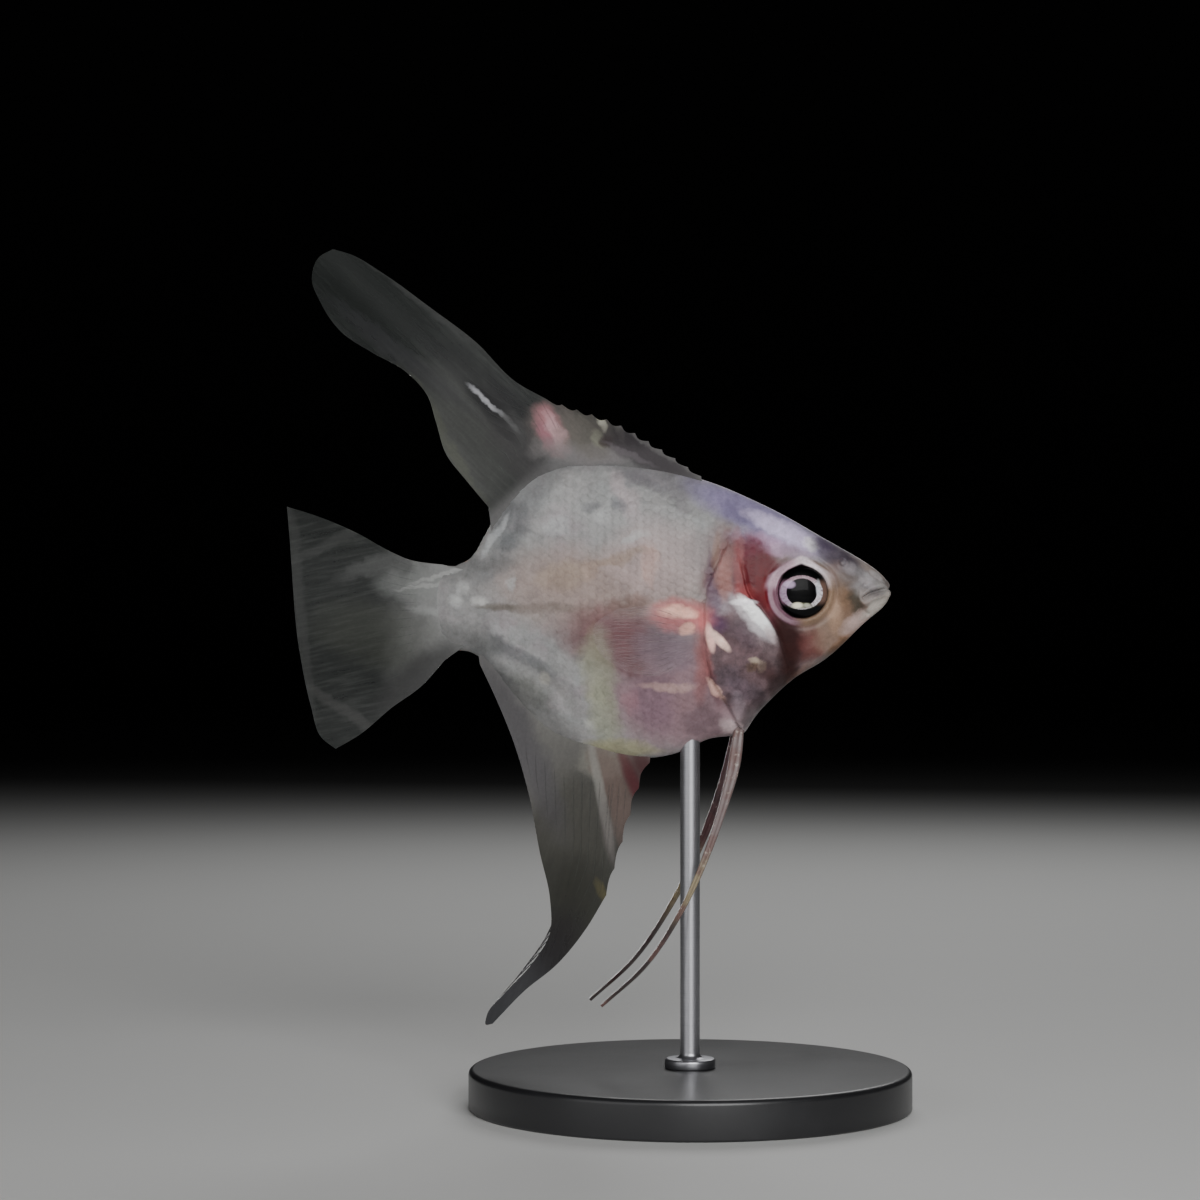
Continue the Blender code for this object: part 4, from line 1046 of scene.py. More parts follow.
def dorsal_depth(s, h):
    """Roughly how far a place lies above the back, by the chord of the fin's root."""
    return (h - 0.305 + (s - 0.76).least(0.0) * 0.9).least(0.0)


def anal_depth(s, h):
    return (-0.375 - h + (s - 0.72).least(0.0) * -0.95).least(0.0)


def caudal_depth(s, h):
    return (s - 1.01).least(0.0)


# How each fin's rays run, how its depth from the root is read, and the colour of its fleshy
# root with how far that reaches out along the fin
FIN_LOOKS = {
    "dorsal_fin": (44.0, dorsal_depth, linear(92, 91, 91), 0.050),
    "anal_fin": (-74.0, anal_depth, linear(108, 107, 104), 0.075),
    "caudal_fin": (-12.0, caudal_depth, linear(126, 126, 125), 0.180),
}


def fin_finish(name, fin, horny):
    """A fin's smoky membrane or, if horny, its slightly paler and denser rays."""
    settings = bpy.context.scene.angelfish_fins
    finish = Finish(name, Specular_IOR_Level=0.2, IOR=1.4)
    place = finish.fish_place()
    ray_angle, depth, tone, reach = FIN_LOOKS[fin]
    s, _, h = finish.split(place)
    rooted = depth(s, h)
    grained = finish.node("ShaderNodeMapping", {"vector_type": "TEXTURE"}, {
        "Vector": place, "Rotation": (0.0, -math.radians(ray_angle), 0.0),
        "Scale": (1.0, 1.0, 0.09)})
    fibre = finish.noise(grained, 9.0, 4.0, 0.6)
    cloud = finish.noise(place, 12.0, 3.0)
    grain = finish.noise(place, 150.0, 2.0)
    base = finish.mix(settings.smoke, linear(60, 62, 60), fibre.rise(0.42, 0.68) * 0.6)
    base = finish.mix(base, linear(34, 36, 35), cloud.rise(0.5, 0.75) * 0.5)
    root = (rooted + (fibre - 0.5) * reach * 0.3 + (cloud - 0.5) * reach * 0.6).rise(reach, 0.0)
    colour = painted(finish, finish.mix(base, tone, root), fin_marks(fin), place)
    shade = 1 + (grain - 0.5) * 0.3 + (fibre - 0.5) * 0.25
    thin = settings.opacity + (fibre - 0.5) * 0.12
    if horny:
        colour = finish.mix(colour, settings.ray_tint, 0.22)
        shade = 1 + (finish.noise(place, 210.0, 1.0) - 0.5) * 0.6
        thin = thin + 0.03
    alpha = (thin + (1 - thin) * rooted.rise(0.12, 0.0)).least(0.4).most(1.0)
    finish.set(
        Base_Color=finish.shaded(colour, shade),
        Roughness=0.45 + fibre * 0.15,
        Alpha=alpha,
        Normal=finish.bump(fibre * 0.8 + grain * 0.2, 0.3, 0.00012),
    )
    return finish.material


def pectoral_ray_finish():
    """Fine, nearly clear rays, cross-jointed."""
    finish = Finish("pectoral_rays", Specular_IOR_Level=0.25, IOR=1.45)
    place = finish.fish_place()
    joints = finish.noise(place, 210.0, 1.0)
    s, _, _ = finish.split(place)
    colour = finish.mix(linear(150, 124, 128), linear(182, 170, 172), joints.rise(0.45, 0.7))
    finish.set(Base_Color=colour, Roughness=0.36 + joints * 0.15,
               Alpha=(0.06 + joints * 0.1) * s.rise(0.44, 0.53) + s.rise(0.5, 0.66) * 0.14,
               Normal=finish.bump(joints, 0.3, 0.00005))
    return finish.material


def clear_fin_finish():
    """The nearly clear membrane of the pectoral fins."""
    finish = Finish("pectoral_membrane", Coat_Weight=0.2, Coat_Roughness=0.2, IOR=1.4)
    place = finish.fish_place()
    fibre = finish.noise(finish.node("ShaderNodeMapping", {"vector_type": "TEXTURE"}, {
        "Vector": place, "Rotation": (0.0, 0.1, 0.0), "Scale": (1.0, 1.0, 0.12)}), 12.0, 3.0)
    s, _, _ = finish.split(place)
    colour = finish.mix(linear(140, 116, 122), linear(168, 156, 160), fibre)
    finish.set(Base_Color=colour, Roughness=0.3 + fibre * 0.1,
               Alpha=(0.03 + fibre * 0.12) * s.rise(0.42, 0.5),
               Normal=finish.bump(fibre, 0.3, 0.0001))
    return finish.material


def feeler_finish(name, tint, edge):
    """A feeler: pale along its middle, darker at its edges, and greyer towards its tip."""
    finish = Finish(name, Coat_Weight=0.15, Coat_Roughness=0.2, IOR=1.42)
    place = finish.fish_place()
    _, _, h = finish.split(place)
    speck = finish.noise(place, 90.0, 3.0)
    band = finish.noise(place, 22.0, 3.0)
    colour = finish.mix(tint, linear(146, 134, 104), h.rise(-0.56, -0.66) * 0.8)
    colour = finish.mix(colour, linear(58, 50, 50), h.rise(-0.68, -0.78))
    colour = finish.mix(colour, edge, band.rise(0.48, 0.66) * 0.8)
    colour = finish.mix(colour, linear(206, 196, 184),
                        speck.rise(0.6, 0.75) * h.rise(-0.74, -0.7) * 0.5)
    finish.set(Base_Color=colour, Roughness=0.35 + speck * 0.15,
               Normal=finish.bump(speck, 0.4, 0.00008))
    return finish.material


def base_finish():
    """Satin black acrylic with the faint rings that turning leaves."""
    settings = bpy.context.scene.angelfish_stand
    finish = Finish("satin_black_base", Coat_Weight=0.3, Coat_Roughness=0.22, IOR=1.49)
    place = finish.own_place()
    x, y, _ = finish.split(place)
    rings = ((x * x + y * y) ** 0.5 * 26000.0).wave() * 0.5 + 0.5
    smear = finish.noise(place, 90.0, 4.0)
    fleck = finish.noise(place, 2600.0, 2.0)
    colour = finish.mix(settings.base, linear(44, 44, 47), smear.rise(0.5, 0.75) * 0.6)
    finish.set(Base_Color=colour, Roughness=settings.base_roughness + smear * 0.14 + fleck * 0.05,
               Normal=finish.bump(rings * 0.4 + fleck * 0.6, 0.12, 0.00002))
    return finish.material


def rod_finish():
    """Steel rod, brushed round its axis."""
    settings = bpy.context.scene.angelfish_stand
    finish = Finish("brushed_steel_rod", IOR=2.5)
    place = finish.own_place()
    brushed = finish.noise(finish.vector("MULTIPLY", place, (260.0, 260.0, 14000.0)), 1.0, 3.0)
    smear = finish.noise(place, 300.0, 3.0)
    colour = finish.mix(settings.rod, linear(150, 150, 156), brushed)
    finish.set(Base_Color=colour, Metallic=1.0 - smear * 0.1,
               Roughness=settings.rod_roughness + brushed * 0.16,
               Normal=finish.bump(brushed, 0.25, 0.00002))
    return finish.material


def floor_finish():
    """Plain pale floor of fine matt plaster, with a painted pool of light: pale round the stand,
    darkening evenly with distance.
    """
    settings = bpy.context.scene.angelfish_stage
    finish = Finish("pale_floor", IOR=1.4)
    place = finish.own_place()
    cloud = finish.noise(place, 5.0, 3.0)
    grain = finish.noise(place, 900.0, 2.0)
    x, y, _ = finish.split(place)
    colour = finish.mix(settings.floor, linear(206, 206, 205), cloud)
    # Painted pool of light: pale near the middle, darkening to charcoal further out
    colour = finish.mix(colour, settings.far_floor, ((x * x + y * y) ** 0.5).rise(0.2, 1.0))
    finish.set(Base_Color=colour, Roughness=0.6 + cloud * 0.1,
               Normal=finish.bump(grain, 0.1, 0.00005))
    return finish.material


# ---------------------------------------------------------------- pieces
FLESH_NODES = ("head", "lower_jaw", "gill_cover_right", "gill_cover_left", "trunk",
               "tail_peduncle")


def make_skin():
    _, _, grid, _ = skin_grid()
    rows, columns = grid.shape[:2]
    points = places(grid[..., 0], grid[..., 1], grid[..., 2]).reshape(-1, 3)
    index = np.arange(rows * columns).reshape(rows, columns)
    after = np.roll(index, -1, axis=1)
    quads = np.stack((index[:-1], after[:-1], after[1:], index[1:]), axis=-1).reshape(-1, 4)
    mesh = bpy.data.meshes.new("skin_source")
    mesh.from_pydata(points.tolist(), [], [*quads.tolist(), index[0].tolist(), index[-1].tolist()])
    source = bmesh.new()
    source.from_mesh(mesh)
    bpy.data.meshes.remove(mesh)
    skin = new_piece("skin", source, skin_finish("milky_skin"), "skin", FLESH_NODES)
    skin.data.set_sharp_from_angle(angle=math.pi)


SCALE_ROWS = 5
SCALE_COLUMNS = 5
SCALE_PATCH = 0.003  # how large each scale's patch is on the unwrapped skin


def scale_roots(pitch):
    """Where the scales grow on one flank, as (s, h, size) in staggered rows."""
    roots = []
    for column, s in enumerate(np.arange(0.225, 1.03, pitch)):
        top, level, bottom, _ = (float(v) for v in body_section(min(s, 1.0)))
        for row in np.arange(math.floor((bottom - level) / pitch), (top - level) / pitch):
            h = level + (row + 0.5 * (column % 2)) * pitch
            reach = (h - level) / ((top if h > level else bottom) - level)
            if reach > 0.975 or not bears_scales(s, h):
                continue
            size = 0.62 + 0.38 * float(smooth_step(s, 0.3, 0.5))
            size *= 1 - 0.45 * float(smooth_step(reach, 0.75, 1.0))
            size *= 1 - 0.3 * float(smooth_step(s, 0.9, 1.03))
            roots.append((s, h, size))
    return np.array(roots)


def bears_scales(s, h):
    """Whether scales grow at a place: not on the snout, round the eye or on the gill slit."""
    if math.hypot(s - EYE_S, h - EYE_H) < 0.11 or s < 0.24 + 0.35 * max(0.0, 0.08 - h):
        return False
    margin, _ = path_distance(OPERCULAR_MARGIN, np.array([s]), np.array([h]), 24)
    cheek, _ = path_distance(CHEEK_EDGE, np.array([s]), np.array([h]), 24)
    return margin[0] > 0.014 and cheek[0] > 0.014 and math.hypot(s - 0.437, h + 0.111) > 0.034


def make_scales(side, word):
    """One flank's scales: thin overlapping plates, each closed underneath."""
    settings = bpy.context.scene.angelfish_skin
    pitch = settings.scale_pitch / STANDARD_LENGTH
    lift = settings.scale_lift / STANDARD_LENGTH
    roots = scale_roots(pitch)
    along = np.linspace(-1.0, 1.0, SCALE_ROWS)
    along[1:-1] = (-0.35, 0.3, 0.75)
    across = np.linspace(-1.0, 1.0, SCALE_COLUMNS)
    taper = np.sqrt(1 - 0.88 * np.clip(along, 0.0, 1.0) ** 2)
    a = np.repeat(along, SCALE_COLUMNS)
    b = np.tile(across, SCALE_ROWS)
    s = roots[:, 0, None] + roots[:, 2, None] * pitch * 0.95 * a
    h = roots[:, 1, None] + roots[:, 2, None] * pitch * 0.6 * b * np.repeat(taper, SCALE_COLUMNS)
    points, normals = on_skin(s, h, side)
    rise = lift * (smooth_step(a, -1.0, 0.9) * 1.5 - 0.5) - 0.35 * lift * b * b
    points += normals * (rise * roots[:, 2, None])[..., None]
    corners = places(points[..., 0], points[..., 1], points[..., 2])

    count = SCALE_ROWS * SCALE_COLUMNS
    index = np.arange(count).reshape(SCALE_ROWS, SCALE_COLUMNS)
    tops = np.stack((index[:-1, :-1], index[:-1, 1:], index[1:, 1:], index[1:, :-1]), -1)
    rim = [*index[0], *index[1:, -1], *index[-1, -2::-1], *index[-2:0:-1, 0]]
    template = [*tops.reshape(-1, 4).tolist(), rim]
    faces = [[k + n * count for k in face] for n in range(len(roots)) for face in template]
    mesh = bpy.data.meshes.new("scales_source")
    mesh.from_pydata(corners.reshape(-1, 3).tolist(), [], faces)
    patch = np.stack((a, b), axis=-1) * SCALE_PATCH / 2
    spots = np.stack((roots[:, 0] / FLESH_END, share_of_turn(roots[:, 0], roots[:, 1], side)), -1)
    uv = (spots[:, None] + patch[None]).reshape(-1, 2)
    layer = mesh.uv_layers.new(name="OFBake")
    vertex = np.empty(len(mesh.loops), dtype=int)
    mesh.loops.foreach_get("vertex_index", vertex)
    layer.data.foreach_set("uv", uv[vertex].ravel())
    source = bmesh.new()
    source.from_mesh(mesh)
    bpy.data.meshes.remove(mesh)
    new_piece(f"scales_{word}", source, skin_finish(f"pearly_scales_{word}", 0.04), "skin")


def share_of_turn(s, h, side):
    """How far round the body a place lies, 0 to 1: the height of the unwrapped skin."""
    share = angle_from_back(s, h) / (2 * math.pi)
    return share if side == LEFT else 1 - share


PUPIL_RISE = 0.00008


def make_eye(side, word, finish_made):
    """An eyeball: a shallow cornea raised over the pupil, and a deep back."""
    pupil = bpy.context.scene.angelfish_eyes.pupil
    radius, bulge, inner = (r * STANDARD_LENGTH for r in (EYE_RADIUS, EYE_BULGE, EYE_INNER_DEPTH))
    tilt = np.linspace(0.01, math.pi - 0.01, 72)
    turn = full_turn(96)
    rings = []
    for t in tilt:
        r = radius * math.sin(t)
        out = math.cos(t) * (bulge if t < math.pi / 2 else inner)
        if t < math.pi / 2:
            out += PUPIL_RISE * (1 - float(smooth_step(r / pupil, 0.3, 1.5)))
        rings.append([Vector((r * math.cos(a), side * out, r * math.sin(a))) for a in turn])
    source = bmesh.new()
    add_loft(source, rings)
    centre = places(EYE_S, side * EYE_RING_Y, EYE_H)
    eye = new_piece(f"eyeball_{word}", source, finish_made, "eye", (f"eye_{word}",))
    eye.data.set_sharp_from_angle(angle=math.pi)
    eye.location = centre
    eye.rotation_euler.z = -side * EYE_TURN


def above_back(s, h):
    return np.maximum(0.0, h - body_curve(BACK_LINE, np.minimum(s, 1.0)))


def below_belly(s, h):
    return np.maximum(0.0, body_curve(BELLY_LINE, np.minimum(s, 1.0)) - h)


def behind_tail_root(s, h):
    return np.maximum(0.0, s - 1.0)


def swayed(lean, lean_depth, ripple, wavelength, depth, across):
    """A fin's sideways lie, from its distance from the root and a measure across its rays."""
    def sway(s, h):
        away = depth(s, h)
        wave = np.sin(2 * math.pi * across(s, h) / wavelength)
        rise = np.minimum(1.0, away / RIPPLE_START)
        return lean * (away / lean_depth) ** 2 + ripple * rise * wave
    return sway


def buried_root(line, start, end, count):
    """Places along the back or the belly, sunk into the flesh, from start to end."""
    s = np.linspace(start, end, count)
    inwards = -FIN_BURIAL if line is BACK_LINE else FIN_BURIAL
    return np.column_stack((s, body_curve(line, s) + inwards))


def sampled(edge):
    """Places along an edge, about evenly spaced."""
    length = np.linalg.norm(np.diff(np.array(edge, float), axis=0), axis=1).sum()
    return along_path(edge, max(2, round(length / FIN_EDGE_STEP) + 1))


def scalloped(edge, spines, heart, per_gap=6):
    """The spines' tips joined by membrane that dips towards heart in rounded scallops."""
    points = along_path(edge, per_gap * (spines - 1) + 1)
    phase = np.arange(len(points)) % per_gap / per_gap
    dip = SPINE_NOTCH * np.sin(math.pi * phase)
    inwards = heart - points
    return points + dip[:, None] * inwards / np.linalg.norm(inwards, axis=1)[:, None]


def filled(outline, spacing):
    """Fills a side-view outline with triangles: its points (s, h) and corners."""
    low, high = outline.min(axis=0), outline.max(axis=0)
    row_step = spacing * math.sin(math.radians(60))
    inner = [(s + (row % 2) * spacing / 2, h)
             for row, h in enumerate(np.arange(low[1], high[1], row_step))
             for s in np.arange(low[0], high[0], spacing)]
    kept = [p for p in inner
            if np.hypot(outline[:, 0] - p[0], outline[:, 1] - p[1]).min() > 0.55 * spacing]
    corners = [Vector(p) for p in (*outline, *kept)]
    around = list(range(len(outline)))
    points, _, triangles, _, _, _ = delaunay_2d_cdt(corners, [], [around], 1, 1e-6)
    return np.array([tuple(p) for p in points]), triangles


def add_membrane(source, outline, depth, sway, root_thickness, spacing=FIN_MESH,
                 taper_depth=0.1):
    """Adds a closed sheet inside an outline, thickest at the fin's root."""
    edge = bpy.context.scene.angelfish_fins.membrane
    points, triangles = filled(outline, spacing)
    s, h = points.T
    taper = np.maximum(0.0, 1 - depth(s, h) / taper_depth) ** 2
    half = (edge + (root_thickness - edge) * taper) / 2 / STANDARD_LENGTH
    middle = sway(s, h)
    sheets = [[source.verts.new(p) for p in places(s, middle + side * half, h)]
              for side, _ in SIDES]
    right, left = sheets
    for corners in triangles:
        source.faces.new([right[k] for k in corners])
        source.faces.new([left[k] for k in reversed(corners)])
    edges = {(t[k - 1], t[k]) for t in triangles for k in range(3)}
    for start, end in edges:
        if (end, start) not in edges:
            source.faces.new((right[end], right[start], left[start], left[end]))
    bmesh.ops.delete(source, geom=[v for v in source.verts if not v.link_faces], context="VERTS")


def read_along(curve, share):
    """The points at shares 0 to 1 of a sampled curve."""
    at = np.clip(share, 0.0, 1.0) * (len(curve) - 1)
    return np.column_stack([np.interp(at, np.arange(len(curve)), c) for c in curve.T])


def ray_path(front, rear, root, rim, a, t):
    """Side-view places on a ray: a runs from the front ray to the rear one, t root to rim."""
    a, t = (v[:, None] for v in np.broadcast_arrays(a, t))
    sides = (1 - a) * read_along(front, t[:, 0]) + a * read_along(rear, t[:, 0])
    ends = (1 - t) * read_along(root, a[:, 0]) + t * read_along(rim, a[:, 0])
    corners = ((1 - a) * (1 - t) * root[0] + a * (1 - t) * root[-1]
               + (1 - a) * t * rim[0] + a * t * rim[-1])
    return sides + ends - corners


RAY_POINTS = 30
# Each stage of a soft ray: its strands, by the side of the first fork and of the second one
# that they lie on, where they start and end, and their width there
RAY_STAGES = (
    (((0, 0),), 0.0, 0.46, 1.0, 0.45),
    (((-1, 0), (1, 0)), 0.3, 0.8, 0.6, 0.35),
    (((-1, -1), (1, -1), (-1, 1), (1, 1)), 0.6, 0.985, 0.42, 0.2),
)


def add_soft_rays(source, fan, count, sway, radius, spread=(0.0, 1.0)):
    """Adds soft rays that fork twice over a fan of (front ray, rear ray, root, rim) curves."""
    gap = (spread[1] - spread[0]) / count
    for k in range(count):
        middle = spread[0] + gap * (k + 0.5)
        for strands, start, end, wide, narrow in RAY_STAGES:
            t = np.linspace(start, end, max(4, round(RAY_POINTS * (end - start))))
            fork = 0.26 * gap * smooth_step(t, 0.3, 0.8)
            twig = 0.12 * gap * smooth_step(t, 0.6, 0.95)
            size = radius * np.linspace(wide, narrow, len(t))
            for first, second in strands:
                path = ray_path(*fan, middle + first * fork + second * twig, t)
                add_strand(source, places(path[:, 0], sway(*path.T), path[:, 1]), size, 5)


def add_spines(source, roots, tips, sway, radius):
    """Adds stout spines that curve back slightly from roots to tips."""
    t = np.linspace(0.0, 1.0, RAY_POINTS)[:, None]
    for root, tip in zip(roots, tips):
        reach = tip - root
        bow = np.array((-reach[1], reach[0])) * 0.06
        path = root + reach * t + bow * t * (1 - t) * (1 if reach[1] < 0 else -1)
        size = radius * (1 - 0.8 * t[:, 0] ** 1.5)
        add_strand(source, places(path[:, 0], sway(*path.T), path[:, 1]), size, 8)


REAR_RAY_SHARE = 0.12  # the share of the trailing edge that the hindmost ray runs along


def make_keeled_fin(name, line, root_span, spiny_span, spines, spiny_edge, leading, trailing,
                    depth, sway, membrane_finish, rays_finish, soft_count):
    """The dorsal or anal fin: spines in front, then a fan of soft rays."""
    root = buried_root(line, *reversed(root_span), 60)
    outline = np.vstack((
        root, scalloped(spiny_edge, spines, root.mean(axis=0)),
        sampled(leading)[1:], sampled(trailing)[1:],
    ))
    source = bmesh.new()
    add_membrane(source, outline, depth, sway, 0.001)
    new_piece(f"{name}_membrane", source, membrane_finish, "fin", (name,))

    ray = bpy.context.scene.angelfish_fins.ray
    source = bmesh.new()
    spine_roots = buried_root(line, *spiny_span, spines)
    spine_tips = along_path(spiny_edge, spines)
    add_spines(source, spine_roots, spine_tips, sway, ray * 1.25)
    last_root, last_tip = spine_roots[-1], spine_tips[-1]
    front = np.vstack((along_path((last_root, last_tip), 12), sampled(leading)[1:]))
    rear_root = root[0]
    edge = sampled(trailing)
    last = max(2, round(REAR_RAY_SHARE * len(edge)))
    rear = np.vstack((rear_root, edge[:-last - 1:-1]))
    soft_root = buried_root(line, spiny_span[1], root_span[1], 20)
    fan = (front, rear, soft_root, edge[:-last])
    add_soft_rays(source, fan, soft_count, sway, ray)
    new_piece(f"{name}_rays", source, rays_finish, "fin")


def make_caudal(sway, membrane_finish, rays_finish):
    low, high = (float(body_curve(line, 1.0)) for line in (BELLY_LINE, BACK_LINE))
    inside = 1.0 - FIN_BURIAL
    upper, rear, lower = (sampled(e) for e in
                          (CAUDAL_UPPER_EDGE, CAUDAL_REAR_EDGE, CAUDAL_LOWER_EDGE))
    start = np.array([(inside, h) for h in np.linspace(low + 0.01, high - 0.01, 24)])
    source = bmesh.new()
    add_membrane(source, np.vstack((start, upper, rear[1:], lower[1:])), behind_tail_root, sway,
                 0.0011, taper_depth=0.12)
    new_piece("caudal_fin_membrane", source, membrane_finish, "fin", ("caudal_fin",))
    ray = bpy.context.scene.angelfish_fins.ray
    source = bmesh.new()
    front = np.vstack((start[-1], upper))
    back = np.vstack((start[0], lower[::-1]))
    add_soft_rays(source, (front, back, start[::-1], rear), 16, sway, ray * 1.15, (0.01, 0.99))
    new_piece("caudal_fin_rays", source, rays_finish, "fin")


def flank_width(s, h):
    """Half the body's thickness at a place in the side view."""
    top, level, bottom, width = (float(v) for v in body_section(s))
    edge, sharpness = (top, BACK_SHARPNESS) if h > level else (bottom, BELLY_SHARPNESS)
    share = min(1.0, abs((h - level) / (edge - level)))
    return width * (1 - share * share) ** (sharpness / 2)


def make_pectoral(side, word, membrane_finish, rays_finish):
    """A small fan spread from the flank, nearly clear."""
    top, bottom = (np.array(corner) for corner in PECTORAL_ROOT)
    root_y = max(flank_width(*top), flank_width(*bottom)) + 0.008
    slope = math.tan(PECTORAL_SPREAD)

    def sway(s, h):
        cupped = 0.01 * ((h + 0.11) / 0.07) ** 2 * np.clip((s - top[0]) / 0.2, 0.0, 1.0)
        return side * (root_y + slope * (s - top[0]) - cupped)

    def depth(s, h):
        return np.maximum(0.0, s - top[0])
    upper, rear, lower = (sampled(e) for e in
                          (PECTORAL_UPPER_EDGE, PECTORAL_REAR_EDGE, PECTORAL_LOWER_EDGE))
    inner = np.array(((bottom[0] - 0.012, bottom[1]), (top[0] - 0.012, top[1])))
    source = bmesh.new()
    add_membrane(source, np.vstack((inner, upper, rear[1:], lower[1:])), depth, sway, 0.0009,
                 0.012, 0.06)
    new_piece(f"pectoral_membrane_{word}", source, membrane_finish, "fin",
              (f"pectoral_fin_{word}",))
    source = bmesh.new()
    front = np.vstack((inner[1], upper))
    back = np.vstack((inner[0], lower[::-1]))
    root = along_path((inner[1], inner[0]), 8)
    add_soft_rays(source, (front, back, root, rear), 11, sway,
                  bpy.context.scene.angelfish_fins.ray * 0.6, (0.0, 1.0))
    new_piece(f"pectoral_rays_{word}", source, rays_finish, "fin")


def make_feeler(side, word, finish_made):
    """A pelvic fin: a stout spine fused with two long rays, which part along grooves."""
    stations, around = 90, 20
    angle = full_turn(around)
    share = np.linspace(0.0, 1.0, stations)
    width = curve_through(PELVIC_WIDTH, share) / 2
    thickness = curve_through(PELVIC_THICKNESS, share) / 2
    path = along_path(PELVIC_PATH, stations)
    path[:, 2] *= -side
    if side == LEFT:
        path[:, 0] += LEFT_PELVIC_TRAIL * (1 - (1 - share) ** 2)
    along = np.gradient(path[:, :2], axis=0)
    across = np.column_stack((along[:, 1], -along[:, 0]))
    across /= np.linalg.norm(across, axis=1)[:, None]
    groove = 1 - 0.32 * (bell(np.abs(np.cos(angle)) - 0.3, 0.2))
    rings = []
    for p, a, w, d in zip(path, across, width, thickness):
        s = p[0] + a[0] * w * np.cos(angle)
        h = p[1] + a[1] * w * np.cos(angle)
        rings.append(places(s, p[2] + d * np.sin(angle) * groove, h))
    source = bmesh.new()
    add_loft(source, rings)
    new_piece(f"feeler_{word}", source, finish_made, "feeler", (f"pelvic_fin_{word}",))


def rounded(radius, height, fillet, steps=10):
    """The (radius, height) points of a rounded outer corner, turning from side to top."""
    return [(radius - fillet + fillet * math.cos(t), height - fillet + fillet * math.sin(t))
            for t in np.linspace(0.0, math.pi / 2, steps)]


ROD_SHARE = 0.39  # the rod's radius as a share of its flange's


def make_stand():
    low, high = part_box("stand_base")
    radius, top = high.x, high.z
    edge = 0.0007
    foot = [(r, low.z + top - z) for r, z in reversed(rounded(radius, top, edge / 2))]
    base = [*foot, *rounded(radius, top, edge)]
    new_piece("turned_base", lathed(base, 160), base_finish(), "stand", ("stand_base",))

    low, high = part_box("stand_rod")
    flange = high.x
    rod, seat = flange * ROD_SHARE, top + 0.00002
    shoulder = seat + 0.0012
    fillet, chamfer = 0.0007, 0.00008
    neck = [(rod + fillet * (1 - math.sin(t)), shoulder + fillet * (1 - math.cos(t)))
            for t in np.linspace(0.0, math.pi / 2, 8)]
    profile = [(rod, low.z), (rod, seat), (flange - chamfer, seat), (flange, seat + chamfer),
               *rounded(flange, shoulder, 0.00035), *neck, (rod, high.z)]
    new_piece("brushed_rod", lathed(profile, 64), rod_finish(), "rod", ("stand_rod",))


# ---------------------------------------------------------------- stage
def add_softbox(name, place, target, size, power):
    light = bpy.data.lights.new(name, "AREA")
    light.shape = "RECTANGLE"
    light.size, light.size_y = size
    light.energy = power
    lamp = linked(name, light)
    lamp.location = place
    lamp.visible_camera = False
    lamp.rotation_euler = (Vector(target) - Vector(place)).to_track_quat("-Z", "Y").to_euler()
    return lamp


def make_floor():
    """A round floor that sweeps up into a distant wall all round, so that no edge shows."""
    settings = bpy.context.scene.angelfish_stage
    reach, sweep = settings.floor_size / 2, settings.floor_size / 6
    height = settings.floor_size / 4
    hub, thickness = 0.1, 0.02
    bend = [(reach - sweep + sweep * math.sin(t), sweep - sweep * math.cos(t))
            for t in np.linspace(0.0, math.pi / 2, 24)]
    profile = [(hub, 0.0), *bend, (reach, height), (reach + thickness, height),
               (reach + thickness, -thickness), (hub, -thickness)]
    source = lathed(profile, 96)
    shaded_object("floor", source, floor_finish())


def make_lights():
    settings = bpy.context.scene.angelfish_stage
    middle = (CAD_BOX[0] + CAD_BOX[1]) / 2
    add_softbox("key_softbox", middle + Vector((0.11, -0.49, 0.18)), middle, (0.34, 0.28),
                settings.key_power)
    add_softbox("fill_softbox", middle + Vector((-0.42, -0.46, 0.1)), middle, (0.5, 0.5),
                settings.fill_power)
    add_softbox("back_softbox", middle + Vector((0.1, 0.45, 0.32)), middle, (0.34, 0.28),
                settings.back_power)
    far = add_softbox("far_softbox", middle + Vector((-0.1, 0.6, 0.06)), middle, (0.3, 0.3),
                      settings.far_power)
    far.data.spread = math.radians(40)
    far.light_linking.receiver_collection = fish_pieces()
    world = bpy.data.worlds.new("dark_studio")
    world.use_nodes = True
    grey = settings.world_grey
    world.node_tree.nodes["Background"].inputs["Color"].default_value = (grey, grey, grey, 1.0)
    bpy.context.scene.world = world


CAMERA_DISTANCE = 0.4214
CAMERA_S, CAMERA_H = 0.668, -0.0184


def make_camera():
    lens = bpy.data.cameras.new("camera")
    lens.lens = bpy.context.scene.angelfish_stage.focal_length
    lens.sensor_width = 36.0
    lens.clip_start = 0.01
    camera = linked("camera", lens)
    camera.location = Vector(places(CAMERA_S, 0.0, CAMERA_H)) - Vector((0.0, CAMERA_DISTANCE, 0.0))
    camera.rotation_euler = (math.pi / 2, 0.0, 0.0)
    bpy.context.scene.camera = camera


# ---------------------------------------------------------------- operators
class ANGELFISH_OT_skin(bpy.types.Operator):
    """Make the one skin that covers head, gill covers, trunk and tail root"""
    bl_idname = "angelfish.skin"
    bl_label = "Skin"

    def execute(self, context):
        make_skin()
        return {"FINISHED"}


class ANGELFISH_OT_scales(bpy.types.Operator):
    """Make both flanks' overlapping scales over the skin"""
    bl_idname = "angelfish.scales"
    bl_label = "Scales"

    def execute(self, context):
        for side, word in SIDES:
            make_scales(side, word)
        return {"FINISHED"}


